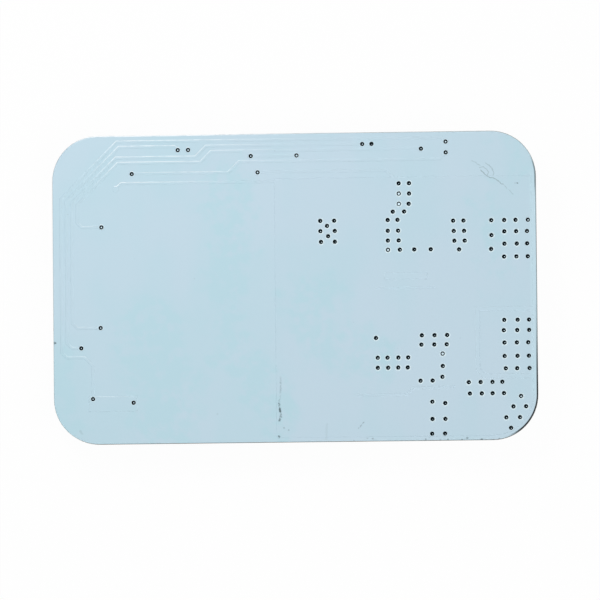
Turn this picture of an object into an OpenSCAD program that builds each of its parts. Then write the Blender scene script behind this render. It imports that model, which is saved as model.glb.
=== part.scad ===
// Battery protection board: a two-layer printed board that lies on its parts, back face up.
// X runs along the board, Y across it and Z up. Z = 0 is the surface that the plug header rests on.
// The parts sit under the board, so their modules are drawn upright and then turned over.

/* [Board] */
// Length of the board
board_w = 94; // [94:0.5:98]
// Width of the board
board_h = 60; // [60:0.5:64]
// Radius of the routed corners
corner_r = 8.8; // [7:0.2:9]
// Thickness of the glass-epoxy laminate
laminate_t = 1.44; // [1:0.02:2]
// Thickness of the copper foil on each face
copper_t = 0.07; // [0.06:0.01:0.1]
// Thickness of the solder mask on the copper
mask_t = 0.03; // [0.02:0.005:0.04]
// Bare margin between the copper and the board's edge
edge_gap = 0.9; // [0.7:0.1:1]

/* [Plated holes] */
// Radius of the drilled hole
drill_r = 0.3; // [0.25:0.01:0.35]
// Thickness of the plating on the hole's wall
plating_t = 0.05; // [0.03:0.01:0.08]
// Radius of the copper ring round each hole
ring_r = 0.5; // [0.48:0.01:0.52]
// Radius of the opening in the solder mask
opening_r = 0.42; // [0.38:0.01:0.45]
// Depth of the solder in a hole, under the back copper
fill_drop = 0.2; // [0.1:0.05:0.5]

/* [Sense tracks] */
// Width of a sense track
track_w = 0.36; // [0.25:0.01:0.4]
// Spacing of the sense tracks
track_pitch = 1.04; // [1:0.01:1.06]

/* [Parts] */
// Thickness of the solder under each part
solder_t = 0.08; // [0.06:0.01:0.12]
// Height of the plug header, the tallest part
header_h = 5.5; // [5:0.1:6]
// Spacing of the header's pins
pin_pitch = 2; // [1.9:0.05:2]
// Height of a power transistor
fet_h = 2.3; // [2.1:0.05:2.5]

/* [Hidden] */
PIN_COUNT = 11;
CELL_COUNT = 10;
POWER_FETS = 4;
CHARGE_FETS = 2;
SHUNTS = 2;
FET_COUNT = POWER_FETS + CHARGE_FETS;
$fn = 48;

// Levels, counted up from the surface that the board lies on
seat_z = header_h;
front_z = seat_z + solder_t;
laminate_z = front_z + copper_t;
laminate_top = laminate_z + laminate_t;
back_z = laminate_top + copper_t;
bare_mask_t = 0.04;
mask_lap = 0.06;

// ---------- plated holes ----------

function row(y, xs) = [for (x = xs) [x, y]];

// Holes that carry one sense or gate signal each
SIGNAL_HOLES = [
    [-22.5, 27.05], [-20.5, 27.05], [13.4, 27.75], [15.2, 27.75], [24.8, 26.7],
    [29.6, 28], [29.6, 25.9], [-8.3, 25.7], [0.6, 25.7], [-31.5, 22.5], [-7, 22.5],
    [-37.5, 12.2], [-37.8, -7.4], [-41.6, -11.3], [-39.4, -21.2], [-31.5, -22], [15.7, -10]
];

// Holes that join the power copper of the two faces, drilled in rough rows
LOAD_HOLES = concat(
    row(12.9, [5.1, 7.8]), row(11.9, [6.4]), row(10.9, [5.1, 7.9]), row(9.9, [6.6]), row(8.8, [5.2, 7.9]),
    row(20, [20.4, 22.4]), row(18, [20.4, 22.4]), row(16, [20.4, 22.3]), row(14.5, [19.2, 21.4]),
    row(12.9, [18.2, 20.1]), row(10.8, [18.2, 20.2]), row(8.9, [18.2, 20.3]),
    row(7.1, [18.2, 20.5, 23.3, 26.5]),
    row(12.6, [30.9, 32.9]), row(10.6, [31, 33]), row(8.7, [31.1, 33.1]), row(7, [32]),
    row(12.6, [38.3, 40.8, 43, 45.4]), row(10.4, [40.8, 43.1, 45.2]), row(9.7, [38.3]),
    row(8, [40.8, 43.2, 45.2]), row(7, [38.2]), row(5.5, [40.7, 43.1, 45.3])
);
PACK_HOLES = concat(
    row(-6.8, [40.6, 43.2, 45.4]), row(-8.8, [40.5, 43.1, 45.4]), row(-11.2, [40.6, 43, 45.2]),
    row(-13.8, [40.6, 43.1, 45.3]), row(-16.2, [40.8, 43, 45.4])
);
CHARGE_HOLES = concat(
    row(-9.6, [24.6, 27.05, 29.5]), row(-11.4, [24.5, 27, 29.4]), row(-13.2, [28.6]), row(-15.6, [28.6]),
    row(-17.7, [28.5]), row(-18.4, [24.25, 26.6]),
    row(-13.85, [16, 17.9, 20, 21.9]), row(-15.8, [16, 18, 19.95, 21.8]),
    row(-18.8, [33.6, 35.9, 38.2, 40.1]), row(-21, [33.8, 36.1, 38.2, 40.4]),
    row(-22.5, [26.5]), row(-22.8, [29]), row(-25.85, [26.5, 29]), row(-28.7, [26.4, 28.9]),
    row(-21.6, [43.7]), row(-23.6, [42.2, 44.65]), row(-25.7, [40.8, 43.45]), row(-27.75, [41.7])
);
POWER_HOLES = concat(LOAD_HOLES, PACK_HOLES, CHARGE_HOLES);

// A signal hole that the ink of the mask covers
COVERED_HOLE = [-34.7, 19.6];
OPEN_HOLES = concat(SIGNAL_HOLES, POWER_HOLES);
HOLES = concat(OPEN_HOLES, [COVERED_HOLE]);

module at_each(places) {
    for (p = places) translate([p[0], p[1], 0]) children();
}

module hole_cutters(places, r) {
    at_each(places) translate([0, 0, laminate_z - 1]) cylinder(h = laminate_t + 2, r = r);
}

// ---------- outlines ----------

// The board's outline, drawn in by a margin
module board_2d(margin = 0) {
    r = corner_r - margin;
    w = board_w / 2 - margin;
    h = board_h / 2 - margin;
    square([2 * (w - r), 2 * h], center = true);
    square([2 * w, 2 * (h - r)], center = true);
    for (sx = [-1, 1]) for (sy = [-1, 1])
        translate([sx * (w - r), sy * (h - r)]) circle(r);
}

function unit(v) = v / norm(v);
function left_of(v) = [-v[1], v[0]];
function heading(p, i) = left_of(unit(p[i + 1] - p[i]));

// Offset at corner i of a path that keeps the strip's width round the bend
function mitre(p, i) =
    let (
        last = len(p) - 1,
        a = heading(p, i > 0 ? i - 1 : 0),
        b = heading(p, i < last ? i : last - 1),
        s = a + b
    )
    2 * s / (s * s);

// Outline of a strip of width w along the path p
function strip(p, w) = concat(
    [for (i = [0:len(p) - 1]) p[i] + mitre(p, i) * w / 2],
    [for (i = [len(p) - 1:-1:0]) p[i] - mitre(p, i) * w / 2]
);

// The path p with both of its ends drawn in by g
function drawn_in(p, g) =
    let (last = len(p) - 1)
    [for (i = [0:last])
        i == 0 ? p[0] + g * unit(p[1] - p[0]) :
        i == last ? p[last] - g * unit(p[last] - p[last - 1]) : p[i]];

// A rectangle from its two corners [x0, y0, x1, y1], grown by g
module block_2d(b, g = 0) {
    translate([b[0] - g, b[1] - g]) square([b[2] - b[0] + 2 * g, b[3] - b[1] + 2 * g]);
}

// ---------- back copper ----------

// Rows along the far edge and columns down the left edge, numbered inwards
function row_y(k) = 28.8 - k * track_pitch;
function column_x(k) = -45.4 + k * track_pitch;

// Value of x - y on the 45 degree run that joins column k to its row
function slant(k) = -63.2 + k * track_pitch * 1.4;
function slant_foot(k) = [column_x(k), column_x(k) - slant(k)];
function slant_head(k, row) = [row_y(row) + slant(k), row_y(row)];

// A 45 degree step from one row to another, starting at x
function step(x, from, to) =
    [[x, row_y(from)], [x + abs(row_y(to) - row_y(from)), row_y(to)]];

SENSE_TRACKS = [
    concat([[-39.4, -21.2], [-39.4, -14.7], [-41, -13.1], [column_x(0) + 1, -13.1]],
        [[column_x(0), -12.1], slant_foot(0), slant_head(0, 0), [28.8, row_y(0)], [29.6, 28]]),
    concat([[-41.6, -11.3], [column_x(1) + 1, -11.3], [column_x(1), -10.3]],
        [slant_foot(1), slant_head(1, 1), [-23.2, row_y(1)], [-22.5, 27.06]]),
    concat([[-37.8, -7.4], [column_x(2) + 1, -7.4], [column_x(2), -6.4]],
        [slant_foot(2), slant_head(2, 3)], step(-19.1, 3, 1), [[15.2, row_y(1)]]),
    concat([[-37.5, 12.2], [column_x(3) + 1, 12.2], [column_x(3), 13.2]],
        [slant_foot(3), slant_head(3, 4)], step(-18.1, 4, 2), [[24.8, row_y(2)]]),
    concat([[-31.5, row_y(6)]], step(-12.7, 6, 4), [[28.4, row_y(4)], [29.6, row_y(4) + 1.2]]),
    [[-7, row_y(6)], [17.9, row_y(6)], [20.4, row_y(6) - 2.5]],
    [[-8.3, row_y(3)], [0.6, row_y(3)]],
    [COVERED_HOLE, [-33.6, row_y(8) + 0.2], [-3.2, row_y(8) + 0.2]]
];

POWER_POUR = [-3.7, -board_h / 2, board_w / 2, 21.2];
SUPPLY_LINK = [-40.2, -23.6, -30.8, -20.8];

// Slots in the power pour as [path, width]: the first parts off the pack pour, the rest steer current
POUR_SLOTS = [
    [[[board_w / 2, -4.6], [35.4, -4.6], [35.4, -16.3], [36.7, -17.6], [board_w / 2, -17.6]], 0.9],
    [[[17.5, 2], [25.8, 2]], 1.4],
    [[[15.7, -0.3], [27.3, -0.3]], 0.4],
    [[[12, -21], [21.6, -21], [22.9, -19.7], [30.9, -19.7]], 0.5]
];

// All the back copper without its rings, grown by g
module back_copper_2d(g = 0) {
    difference() {
        intersection() {
            board_2d(edge_gap - g);
            block_2d(POWER_POUR, g);
        }
        for (s = POUR_SLOTS) polygon(strip(drawn_in(s[0], g), s[1] - 2 * g));
    }
    for (p = SENSE_TRACKS) polygon(strip(p, track_w + 2 * g));
    block_2d(SUPPLY_LINK, g);
}

// ---------- places of the parts ----------

// Each place is [x, y, turn]. Turn 0 has a part's two ends along X.
FET_Y = 0;
CHARGE_FET_Y = -22.6;
FETS = concat(
    [for (k = [0:POWER_FETS - 1]) [8 + 7.5 * k, FET_Y, 0]],
    [for (k = [0:CHARGE_FETS - 1]) [10.4 + 7.6 * k, CHARGE_FET_Y, 0]]
);
SHUNT_PLACES = [for (k = [0:SHUNTS - 1]) [35.45, -7.55 - 3.45 * k, 0]];
IC_PLACE = [-16.6, -3.6, 0];
HEADER_PLACE = [-board_w / 2 + 0.4, 0.6, 0];
REGULATOR_PLACE = [-31.5, -13.5, 0];
DIODE_PLACE = [-23.6, -24.4, 0];

CELL_PITCH = 3.2;
RESISTOR_Y = 17;
SMALL_Y = 7.9;
function cell_x(k) = -31 + CELL_PITCH * k;
RESISTORS = [for (k = [0:CELL_COUNT - 1]) [cell_x(k), RESISTOR_Y, 90]];
TRANSISTORS = [for (k = [0:CELL_COUNT - 1]) [cell_x(k), 11.2, 0]];

// Small chips: one resistor and one capacitor for each cell, one resistor for each lower
// header pin, and a row of both below the protection chip
FILTER_PINS = 5;
SERVICE_CHIPS = 8;
function pin_y(k) = HEADER_PLACE[1] + pin_pitch * (k - (PIN_COUNT - 1) / 2);
function service_x(k) = IC_PLACE[0] + 2.2 * (k - (SERVICE_CHIPS - 1) / 2);
SMALL_RESISTORS = concat(
    [for (k = [0:CELL_COUNT - 1]) [cell_x(k) + 0.95, SMALL_Y, 90]],
    [for (k = [0:FILTER_PINS - 1]) [-33.9, pin_y(k), 0]],
    [for (k = [0:2:SERVICE_CHIPS - 1]) [service_x(k), -12.6, 90]],
    [[0.6, -7, 90], [0.6, -22, 90]]
);
SMALL_CAPACITORS = concat(
    [for (k = [0:CELL_COUNT - 1]) [cell_x(k) - 0.95, SMALL_Y, 90]],
    [for (k = [1:2:SERVICE_CHIPS - 1]) [service_x(k), -12.6, 90]],
    [[-26.9, -16.8, 90], [-36.2, -14.2, 90]]
);
SMALL_CHIPS = concat(SMALL_RESISTORS, SMALL_CAPACITORS);

// Sizes of the chips as [length, width, height, length of an end cap]
BALANCE_CHIP = [5, 2.5, 0.6, 0.6];
SMALL_CHIP = [1.6, 0.8, 0.5, 0.3];
SHUNT = [6.3, 3.05, 0.7, 1.2];
END_PAD = 0.4;

// ---------- pads, as [x, y, size along x, size along y] ----------

function cos_of(turn) = turn == 0 ? 1 : 0;
function sin_of(turn) = turn == 0 ? 0 : 1;
function turned_pad(p, u, v, su, sv) = [
    p[0] + u * cos_of(p[2]) - v * sin_of(p[2]), p[1] + u * sin_of(p[2]) + v * cos_of(p[2]),
    su * cos_of(p[2]) + sv * sin_of(p[2]), su * sin_of(p[2]) + sv * cos_of(p[2])
];

// The two pads of a chip reach END_PAD past its ends
function chip_pads(p, c, w) = [
    for (s = [-1, 1]) turned_pad(p, s * (c[0] - c[3] + END_PAD - 0.2) / 2, 0, c[3] + END_PAD + 0.2, w)
];

FET_PIN = 2.28;
IC_LEADS = 19;
IC_PITCH = 0.5;
FET_TAB_PADS = [for (p = FETS) [p[0], p[1] + 2.45, 5.8, 6.1]];
FET_LEAD_PADS = [for (p = FETS) for (s = [-1, 1]) [p[0] + s * FET_PIN, p[1] - 4.5, 1.2, 2.4]];
IC_PADS = [for (i = [0:IC_LEADS - 1]) for (s = [-1, 1])
    [IC_PLACE[0] + (i - (IC_LEADS - 1) / 2) * IC_PITCH, IC_PLACE[1] + s * 3, 0.28, 1.3]];
HEADER_PADS = [for (k = [0:PIN_COUNT - 1]) [HEADER_PLACE[0] + 9.2, pin_y(k), 1.8, 1]];
HOLD_DOWN_PADS = [for (s = [-1, 1]) [HEADER_PLACE[0] + 2.5, HEADER_PLACE[1] + s * 14.3, 3.4, 2.2]];
TRANSISTOR_PADS = [for (p = TRANSISTORS) for (q = [[0, 1.1], [-0.95, -1.1], [0.95, -1.1]])
    [p[0] + q[0], p[1] + q[1], 0.7, 1]];
REGULATOR_PADS = concat(
    [for (k = [-1:1]) [REGULATOR_PLACE[0] + 1.5 * k, REGULATOR_PLACE[1] - 1.9, 0.8, 1.3]],
    [[REGULATOR_PLACE[0], REGULATOR_PLACE[1] + 1.5, 1.9, 2]]
);
DIODE_PADS = [for (s = [-1, 1]) [DIODE_PLACE[0] + s * 2.2, DIODE_PLACE[1], 1.8, 1.7]];
PART_PADS = concat(
    FET_TAB_PADS, FET_LEAD_PADS, IC_PADS, HEADER_PADS, HOLD_DOWN_PADS,
    TRANSISTOR_PADS, REGULATOR_PADS, DIODE_PADS,
    [for (p = SHUNT_PLACES) for (q = chip_pads(p, SHUNT, 3.1)) q],
    [for (p = RESISTORS) for (q = chip_pads(p, BALANCE_CHIP, 2.5)) q],
    [for (p = SMALL_CHIPS) for (q = chip_pads(p, SMALL_CHIP, 0.84)) q]
);

// Pads for the pack, load, charger and supply wires as [x0, y0, x1, y1]
LOAD_PAD = [39.7, 4.4, 46, 13.8];
PACK_PAD = [39.4, -16.9, 46, -5.8];
CHARGE_PAD = [39.4, -26.6, 45.6, -20.3];
SUPPLY_PAD = [-38.6, -27.4, -33.4, -23.2];
WIRE_PADS = [LOAD_PAD, PACK_PAD, CHARGE_PAD, SUPPLY_PAD];
WIRE_PAD_T = 0.3;

module pads_2d(g = 0) {
    for (p = PART_PADS) translate([p[0], p[1]]) square([p[2] + 2 * g, p[3] + 2 * g], center = true);
    intersection() {
        board_2d(edge_gap - g);
        for (b = WIRE_PADS) block_2d(b, g);
    }
}

// ---------- front copper ----------

// Power copper of the front face as [x0, y0, x1, y1], one line for each net
FRONT_POURS = [
    [3.8, -0.7, 36.2, 21.6], [36, 3.8, 46.1, 14.4],
    [3.8, -12.65, 34.9, -3.1], [23.4, -18.95, 29.8, -12.5],
    [36, -17.1, 46.1, -4.9],
    [6.2, -23.3, 22.9, -13.2],
    [30.6, -27.2, 46.1, -18.2], [24.9, -29.1, 40.8, -21.4], [6.2, -29.1, 25, -25.7]
];
GATE_BUS_Y = -1.95;
CHARGE_BUS_Y = CHARGE_FET_Y - 1.95;
FIRST_GATES = [for (k = [0:POWER_FETS - 1]) FETS[k][0] - FET_PIN];
LAST_GATES = [for (k = [POWER_FETS:FET_COUNT - 1]) FETS[k][0] - FET_PIN];

// The fans narrow the cells' spacing down to the chip's leads, and then widen it again
function fan_level(k, n) = min(k, n - 1 - k);
function ic_lead_x(k, n) = IC_PLACE[0] + (k - (n - 1) / 2) * 2 * IC_PITCH;
CELL_FAN = [for (k = [0:CELL_COUNT - 1]) let (x = cell_x(k) + 0.95, y = 1.5 + 0.75 * fan_level(k, CELL_COUNT))
    [[x, 7.1], [x, y], [ic_lead_x(k, CELL_COUNT), y], [ic_lead_x(k, CELL_COUNT), -0.6]]];
SERVICE_FAN = [for (k = [0:SERVICE_CHIPS - 1]) let (y = -8.2 - 0.7 * (3 - fan_level(k, SERVICE_CHIPS)))
    [[service_x(k), -11.9], [service_x(k), y], [ic_lead_x(k, SERVICE_CHIPS), y],
        [ic_lead_x(k, SERVICE_CHIPS), -6.6]]];

// The upper header pins run up beside the cells and turn over them, nested
UPPER_PINS = 5;
HEADER_FAN = [for (k = [0:UPPER_PINS - 1])
    let (y = pin_y(PIN_COUNT - 1 - k), x = -33.6 - 0.7 * k, top = 21.2 + 0.75 * k)
    [[-37.2, y], [x - 0.6, y], [x, y + 0.6], [x, top - 0.6], [x + 0.6, top],
        [cell_x(k), top], [cell_x(k), 19]]];
CELL_LINKS = concat(
    [for (k = [0:CELL_COUNT - 1]) [[cell_x(k), 14.8], [cell_x(k), 12.2]]],
    [for (k = [0:CELL_COUNT - 1]) for (s = [-1, 1]) [[cell_x(k) + s * 0.95, 10.2], [cell_x(k) + s * 0.95, 8.7]]]
);
PIN_LINKS = [for (k = [0:FILTER_PINS - 1]) [[-37.2, pin_y(k)], [-34.6, pin_y(k)]]];
FRONT_TRACKS = concat(CELL_FAN, SERVICE_FAN, HEADER_FAN, CELL_LINKS, PIN_LINKS,
    [[[0.6, -6.2], [0.6, GATE_BUS_Y], [FIRST_GATES[POWER_FETS - 1], GATE_BUS_Y]]],
    [[[0.6, -22.8], [0.6, CHARGE_BUS_Y], [LAST_GATES[CHARGE_FETS - 1], CHARGE_BUS_Y]]],
    [for (x = FIRST_GATES) [[x, GATE_BUS_Y], [x, -4]]],
    [for (x = LAST_GATES) [[x, CHARGE_BUS_Y], [x, CHARGE_FET_Y - 4]]]
);

// All the front copper without its rings, grown by g
module front_copper_2d(g = 0) {
    intersection() {
        board_2d(edge_gap - g);
        difference() {
            for (b = FRONT_POURS) block_2d(b, g);
            for (x = FIRST_GATES) block_2d([x - 0.95, -6.1, x + 0.95, -2.9], -g);
            for (x = LAST_GATES)
                block_2d([x - 0.95, CHARGE_FET_Y - 6.1, x + 0.95, CHARGE_FET_Y - 2.9], -g);
        }
    }
    for (p = FRONT_TRACKS) polygon(strip(p, 0.3 + 2 * g));
    pads_2d(g);
}

// ---------- the bare board ----------

module laminate() {
    color([0.56, 0.58, 0.42]) difference() {
        translate([0, 0, laminate_z]) linear_extrude(laminate_t) board_2d();
        hole_cutters(HOLES, drill_r);
    }
}

module back_copper() {
    color([0.72, 0.45, 0.25]) difference() {
        translate([0, 0, laminate_top]) linear_extrude(copper_t) back_copper_2d();
        hole_cutters(HOLES, ring_r);
    }
}

module front_copper() {
    color([0.72, 0.45, 0.25]) difference() {
        translate([0, 0, front_z]) linear_extrude(copper_t) front_copper_2d();
        hole_cutters(HOLES, ring_r);
    }
}

// A barrel through the laminate with a ring in each copper layer
module plated_holes() {
    bore_r = drill_r - plating_t;
    color([0.3, 0.3, 0.3]) at_each(HOLES) rotate_extrude()
        polygon([
            [bore_r, front_z], [ring_r, front_z], [ring_r, laminate_z], [drill_r, laminate_z],
            [drill_r, laminate_top], [ring_r, laminate_top], [ring_r, back_z], [bore_r, back_z]
        ]);
}

module hole_solder() {
    color([0.75, 0.76, 0.78]) at_each(HOLES)
        translate([0, 0, front_z]) cylinder(h = back_z - fill_drop - front_z, r = drill_r - plating_t);
}

// The ink is thin on the laminate and steps up over the copper and the rings
module back_solder_mask() {
    color([0.75, 0.85, 0.89]) difference() {
        union() {
            translate([0, 0, laminate_top]) linear_extrude(bare_mask_t) board_2d();
            translate([0, 0, laminate_top]) linear_extrude(copper_t + mask_t) {
                back_copper_2d(mask_lap);
                for (p = HOLES) translate(p) circle(ring_r + mask_lap);
            }
        }
        translate([0, 0, laminate_top - 1]) linear_extrude(1 + copper_t) {
            back_copper_2d();
            for (p = HOLES) translate(p) circle(ring_r);
        }
        hole_cutters(OPEN_HOLES, opening_r);
    }
}

module front_solder_mask() {
    color([0.75, 0.85, 0.89]) difference() {
        union() {
            translate([0, 0, laminate_z - bare_mask_t]) linear_extrude(bare_mask_t) board_2d();
            translate([0, 0, front_z - mask_t]) linear_extrude(copper_t + mask_t) {
                front_copper_2d(mask_lap);
                for (p = HOLES) translate(p) circle(ring_r + mask_lap);
            }
        }
        translate([0, 0, front_z]) linear_extrude(1 + copper_t) {
            front_copper_2d();
            for (p = HOLES) translate(p) circle(ring_r);
        }
        translate([0, 0, front_z - 1]) linear_extrude(2) pads_2d(0.02);
        hole_cutters(HOLES, opening_r);
    }
}

// ---------- soldering ----------

// Turns a part over onto the front face at its place
module on_front(p) {
    translate([p[0], p[1], seat_z]) mirror([0, 0, 1]) rotate(p[2]) children();
}

// A profile in the Y-Z plane, extruded along X and centred on it
module bar(profile, w) {
    rotate([90, 0, 90]) translate([0, 0, -w / 2]) linear_extrude(w) polygon(profile);
}

// Solder along +Y from y0 under a part to y1 on the pad, climbing the end face at y_face
module fillet(y0, y_face, y1, rise, w) {
    bar([[y0, -solder_t], [y1, -solder_t], [y1, -solder_t / 2], [y_face, rise], [y_face, 0], [y0, 0]], w);
}

module chip_fillets(c, w) {
    for (a = [-90, 90]) rotate(a)
        fillet(c[0] / 2 - c[3], c[0] / 2, c[0] / 2 + END_PAD - 0.05, c[2] * 0.6, w);
}

// The foot of a bent lead, with its toe at y_toe
module toe_fillet(y_toe, foot, t, w) {
    fillet(y_toe - foot, y_toe, y_toe + 0.3, t * 0.7, w);
}

module solder_joints() {
    color([0.78, 0.79, 0.81]) {
        for (p = RESISTORS) on_front(p) chip_fillets(BALANCE_CHIP, 2.4);
        for (p = SMALL_CHIPS) on_front(p) chip_fillets(SMALL_CHIP, 0.78);
        for (p = SHUNT_PLACES) on_front(p) chip_fillets(SHUNT, 3);
        for (p = FETS) on_front(p) {
            fillet(-0.5, 5, 5.4, 0.35, 5);
            for (s = [-1, 1]) translate([s * FET_PIN, 0, 0]) rotate(180) toe_fillet(5, 1.5, 0.5, 1.1);
        }
        on_front(IC_PLACE) for (i = [0:IC_LEADS - 1]) for (a = [0, 180])
            rotate(a) translate([(i - (IC_LEADS - 1) / 2) * IC_PITCH, 0, 0]) toe_fillet(3.2, 0.6, 0.15, 0.26);
        for (k = [0:PIN_COUNT - 1]) on_front([HEADER_PLACE[0], pin_y(k), 0])
            rotate(-90) toe_fillet(9.7, 1.2, 0.5, 0.9);
        for (a = [0, 180]) on_front([HEADER_PLACE[0] + 2.5, HEADER_PLACE[1], 0])
            rotate(a) toe_fillet(15, 1.6, 0.4, 3.2);
        for (p = TRANSISTORS) on_front(p) {
            toe_fillet(1.25, 0.5, 0.15, 0.6);
            for (s = [-1, 1]) translate([s * 0.95, 0, 0]) rotate(180) toe_fillet(1.25, 0.5, 0.15, 0.6);
        }
        on_front(REGULATOR_PLACE) {
            for (k = [-1:1]) translate([1.5 * k, 0, 0]) rotate(180) toe_fillet(2.2, 0.9, 0.4, 0.7);
            toe_fillet(2.1, 1.5, 0.4, 1.8);
        }
        on_front(DIODE_PLACE) for (a = [-90, 90]) rotate(a) toe_fillet(2.7, 1.3, 0.2, 1.6);
    }
}

// Flat tinned pads that the wires are soldered to
module wire_pads() {
    color([0.8, 0.81, 0.83]) for (b = WIRE_PADS)
        translate([0, 0, front_z - WIRE_PAD_T]) linear_extrude(WIRE_PAD_T) intersection() {
            block_2d(b);
            board_2d(edge_gap);
        }
}

// ---------- power transistors ----------

FET_BODY_W = 6.6;
FET_BODY_Y0 = -2.2;
FET_BODY_Y1 = 3.9;
FET_LEAD_Z = 0.9;
FET_METAL_T = 0.5;

// A moulded case: the sides lean in above and below a band at the parting line
function case_profile(a, b, z0, band0, band1, z1, lean) = [
    [a + lean / 2, z0], [b - lean / 2, z0], [b, band0], [b, band1],
    [b - lean, z1], [a + lean, z1], [a, band1], [a, band0]
];

module moulded_case(w, y0, y1, z0, band0, band1, z1, lean) {
    intersection() {
        bar(case_profile(y0, y1, z0, band0, band1, z1, lean), w + 1);
        rotate(90) bar(case_profile(-w / 2, w / 2, z0, band0, band1, z1, lean), 2 * (y1 - y0) + 4);
    }
}

// The tab that the chip sits on, with its clipped corners and a hooked edge under the case
module fet_tab() {
    linear_extrude(FET_METAL_T)
        polygon([[-2.65, -0.5], [2.65, -0.5], [2.65, 4.3], [2.2, 4.3], [2.2, 5], [-2.2, 5], [-2.2, 4.3], [-2.65, 4.3]]);
}

// Side view of a lead that leaves a case at height z, as a closed outline towards +Y
function gull_wing(y0, y_toe, z, t, foot) = [
    [y0, z], [y0 + t, z], [y_toe - foot - t / 2, 0], [y_toe, 0], [y_toe, t],
    [y_toe - foot + t / 4, t], [y0 + t * 1.6, z + t], [y0, z + t]
];

module fet_leadframe(place) {
    color([0.75, 0.76, 0.78]) on_front(place) {
        fet_tab();
        for (s = [-1, 1]) translate([s * FET_PIN, 0, 0])
            rotate(180) bar(gull_wing(-FET_BODY_Y0, 5, FET_LEAD_Z, FET_METAL_T, 1.3), 0.76);
        bar([[FET_BODY_Y0 - 0.8, FET_LEAD_Z], [FET_BODY_Y0, FET_LEAD_Z],
            [FET_BODY_Y0, FET_LEAD_Z + FET_METAL_T], [FET_BODY_Y0 - 0.8, FET_LEAD_Z + FET_METAL_T]], 0.9);
    }
}

module fet_case(place) {
    color([0.16, 0.16, 0.17]) on_front(place) difference() {
        moulded_case(FET_BODY_W, FET_BODY_Y0, FET_BODY_Y1, 0.02, FET_LEAD_Z - 0.1, FET_LEAD_Z + 0.6, fet_h, 0.35);
        translate([0, 0, -0.01]) linear_extrude(0.01) square(20, center = true);
        fet_tab();
        translate([0, -1.2, fet_h - 0.12]) cylinder(h = 1, r = 0.6);
    }
}

// ---------- chips with plain ends ----------

// The ceramic body stands between its caps, a little thinner than they are
module chip_body(place, c) {
    on_front(place) translate([-c[0] / 2 + c[3], -c[1] / 2 + 0.03, 0.03])
        cube([c[0] - 2 * c[3], c[1] - 0.06, c[2] - 0.06]);
}

module chip_caps(place, c) {
    on_front(place) for (s = [-1, 1])
        translate([s * (c[0] - c[3]) / 2 - c[3] / 2, -c[1] / 2, 0]) cube([c[3], c[1], c[2]]);
}

module balance_resistor(k) { color([0.13, 0.13, 0.14]) chip_body(RESISTORS[k], BALANCE_CHIP); }

module balance_resistor_caps() { color([0.78, 0.79, 0.8]) for (p = RESISTORS) chip_caps(p, BALANCE_CHIP); }

module small_resistors() { color([0.15, 0.15, 0.16]) for (p = SMALL_RESISTORS) chip_body(p, SMALL_CHIP); }

module small_capacitors() { color([0.66, 0.5, 0.36]) for (p = SMALL_CAPACITORS) chip_body(p, SMALL_CHIP); }

module small_chip_caps() { color([0.78, 0.79, 0.8]) for (p = SMALL_CHIPS) chip_caps(p, SMALL_CHIP); }

// A shunt is one bridge-shaped strip of resistance alloy, coated between its feet
SHUNT_FEET = 0.22;

module shunt(k) {
    l = SHUNT[0] / 2;
    foot = SHUNT[3];
    color([0.7, 0.71, 0.72]) on_front(SHUNT_PLACES[k]) rotate(90)
        bar([[-l, 0], [-l + foot, 0], [-l + foot, SHUNT_FEET], [l - foot, SHUNT_FEET], [l - foot, 0], [l, 0],
            [l, SHUNT[2] - 0.15], [-l, SHUNT[2] - 0.15]], SHUNT[1]);
}

module shunt_coat(k) {
    l = SHUNT[0] - 2 * SHUNT[3];
    color([0.14, 0.16, 0.15]) on_front(SHUNT_PLACES[k]) {
        translate([-l / 2, -SHUNT[1] / 2, SHUNT[2] - 0.15]) cube([l, SHUNT[1], 0.15]);
        translate([-l / 2, -SHUNT[1] / 2, 0.07]) cube([l, SHUNT[1], SHUNT_FEET - 0.07]);
    }
}

// ---------- packages with bent leads ----------

module protection_ic() {
    color([0.13, 0.13, 0.14]) on_front(IC_PLACE) difference() {
        moulded_case(9.7, -2.2, 2.2, 0.1, 0.45, 0.7, 1.1, 0.12);
        translate([-4.2, -1.5, 1]) cylinder(h = 1, r = 0.35);
    }
}

module protection_ic_leads() {
    color([0.78, 0.79, 0.8]) on_front(IC_PLACE) for (a = [0, 180]) rotate(a)
        for (i = [0:IC_LEADS - 1]) translate([(i - (IC_LEADS - 1) / 2) * IC_PITCH, 0, 0])
            bar(gull_wing(2.2, 3.2, 0.5, 0.15, 0.5), 0.22);
}

module balance_transistor(k) {
    color([0.13, 0.13, 0.14]) on_front(TRANSISTORS[k])
        moulded_case(2.9, -0.65, 0.65, 0.1, 0.45, 0.7, 1.05, 0.1);
}

module balance_transistor_leads() {
    color([0.78, 0.79, 0.8]) for (p = TRANSISTORS) on_front(p) {
        bar(gull_wing(0.65, 1.25, 0.5, 0.15, 0.3), 0.42);
        for (s = [-1, 1]) translate([s * 0.95, 0, 0]) rotate(180) bar(gull_wing(0.65, 1.25, 0.5, 0.15, 0.3), 0.42);
    }
}

module regulator() {
    color([0.13, 0.13, 0.14]) on_front(REGULATOR_PLACE) difference() {
        moulded_case(4.5, -1.3, 1.2, 0.02, 0.02 + 0.4, 0.8, 1.5, 0.2);
        regulator_metal();
    }
}

// The middle lead and the tab are one strip under the case
module regulator_metal() {
    for (k = [-1, 1]) translate([1.5 * k - 0.22, -2.2, 0]) cube([0.44, 1.3, 0.4]);
    translate([-0.25, -2.2, 0]) cube([0.5, 2, 0.4]);
    translate([-0.85, -0.5, 0]) cube([1.7, 2.6, 0.4]);
}

module regulator_leads() { color([0.78, 0.79, 0.8]) on_front(REGULATOR_PLACE) regulator_metal(); }

module surge_diode() {
    color([0.13, 0.13, 0.14]) on_front(DIODE_PLACE)
        moulded_case(4.4, -1.3, 1.3, 0.3, 0.95, 1.25, 2.2, 0.12);
}

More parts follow.
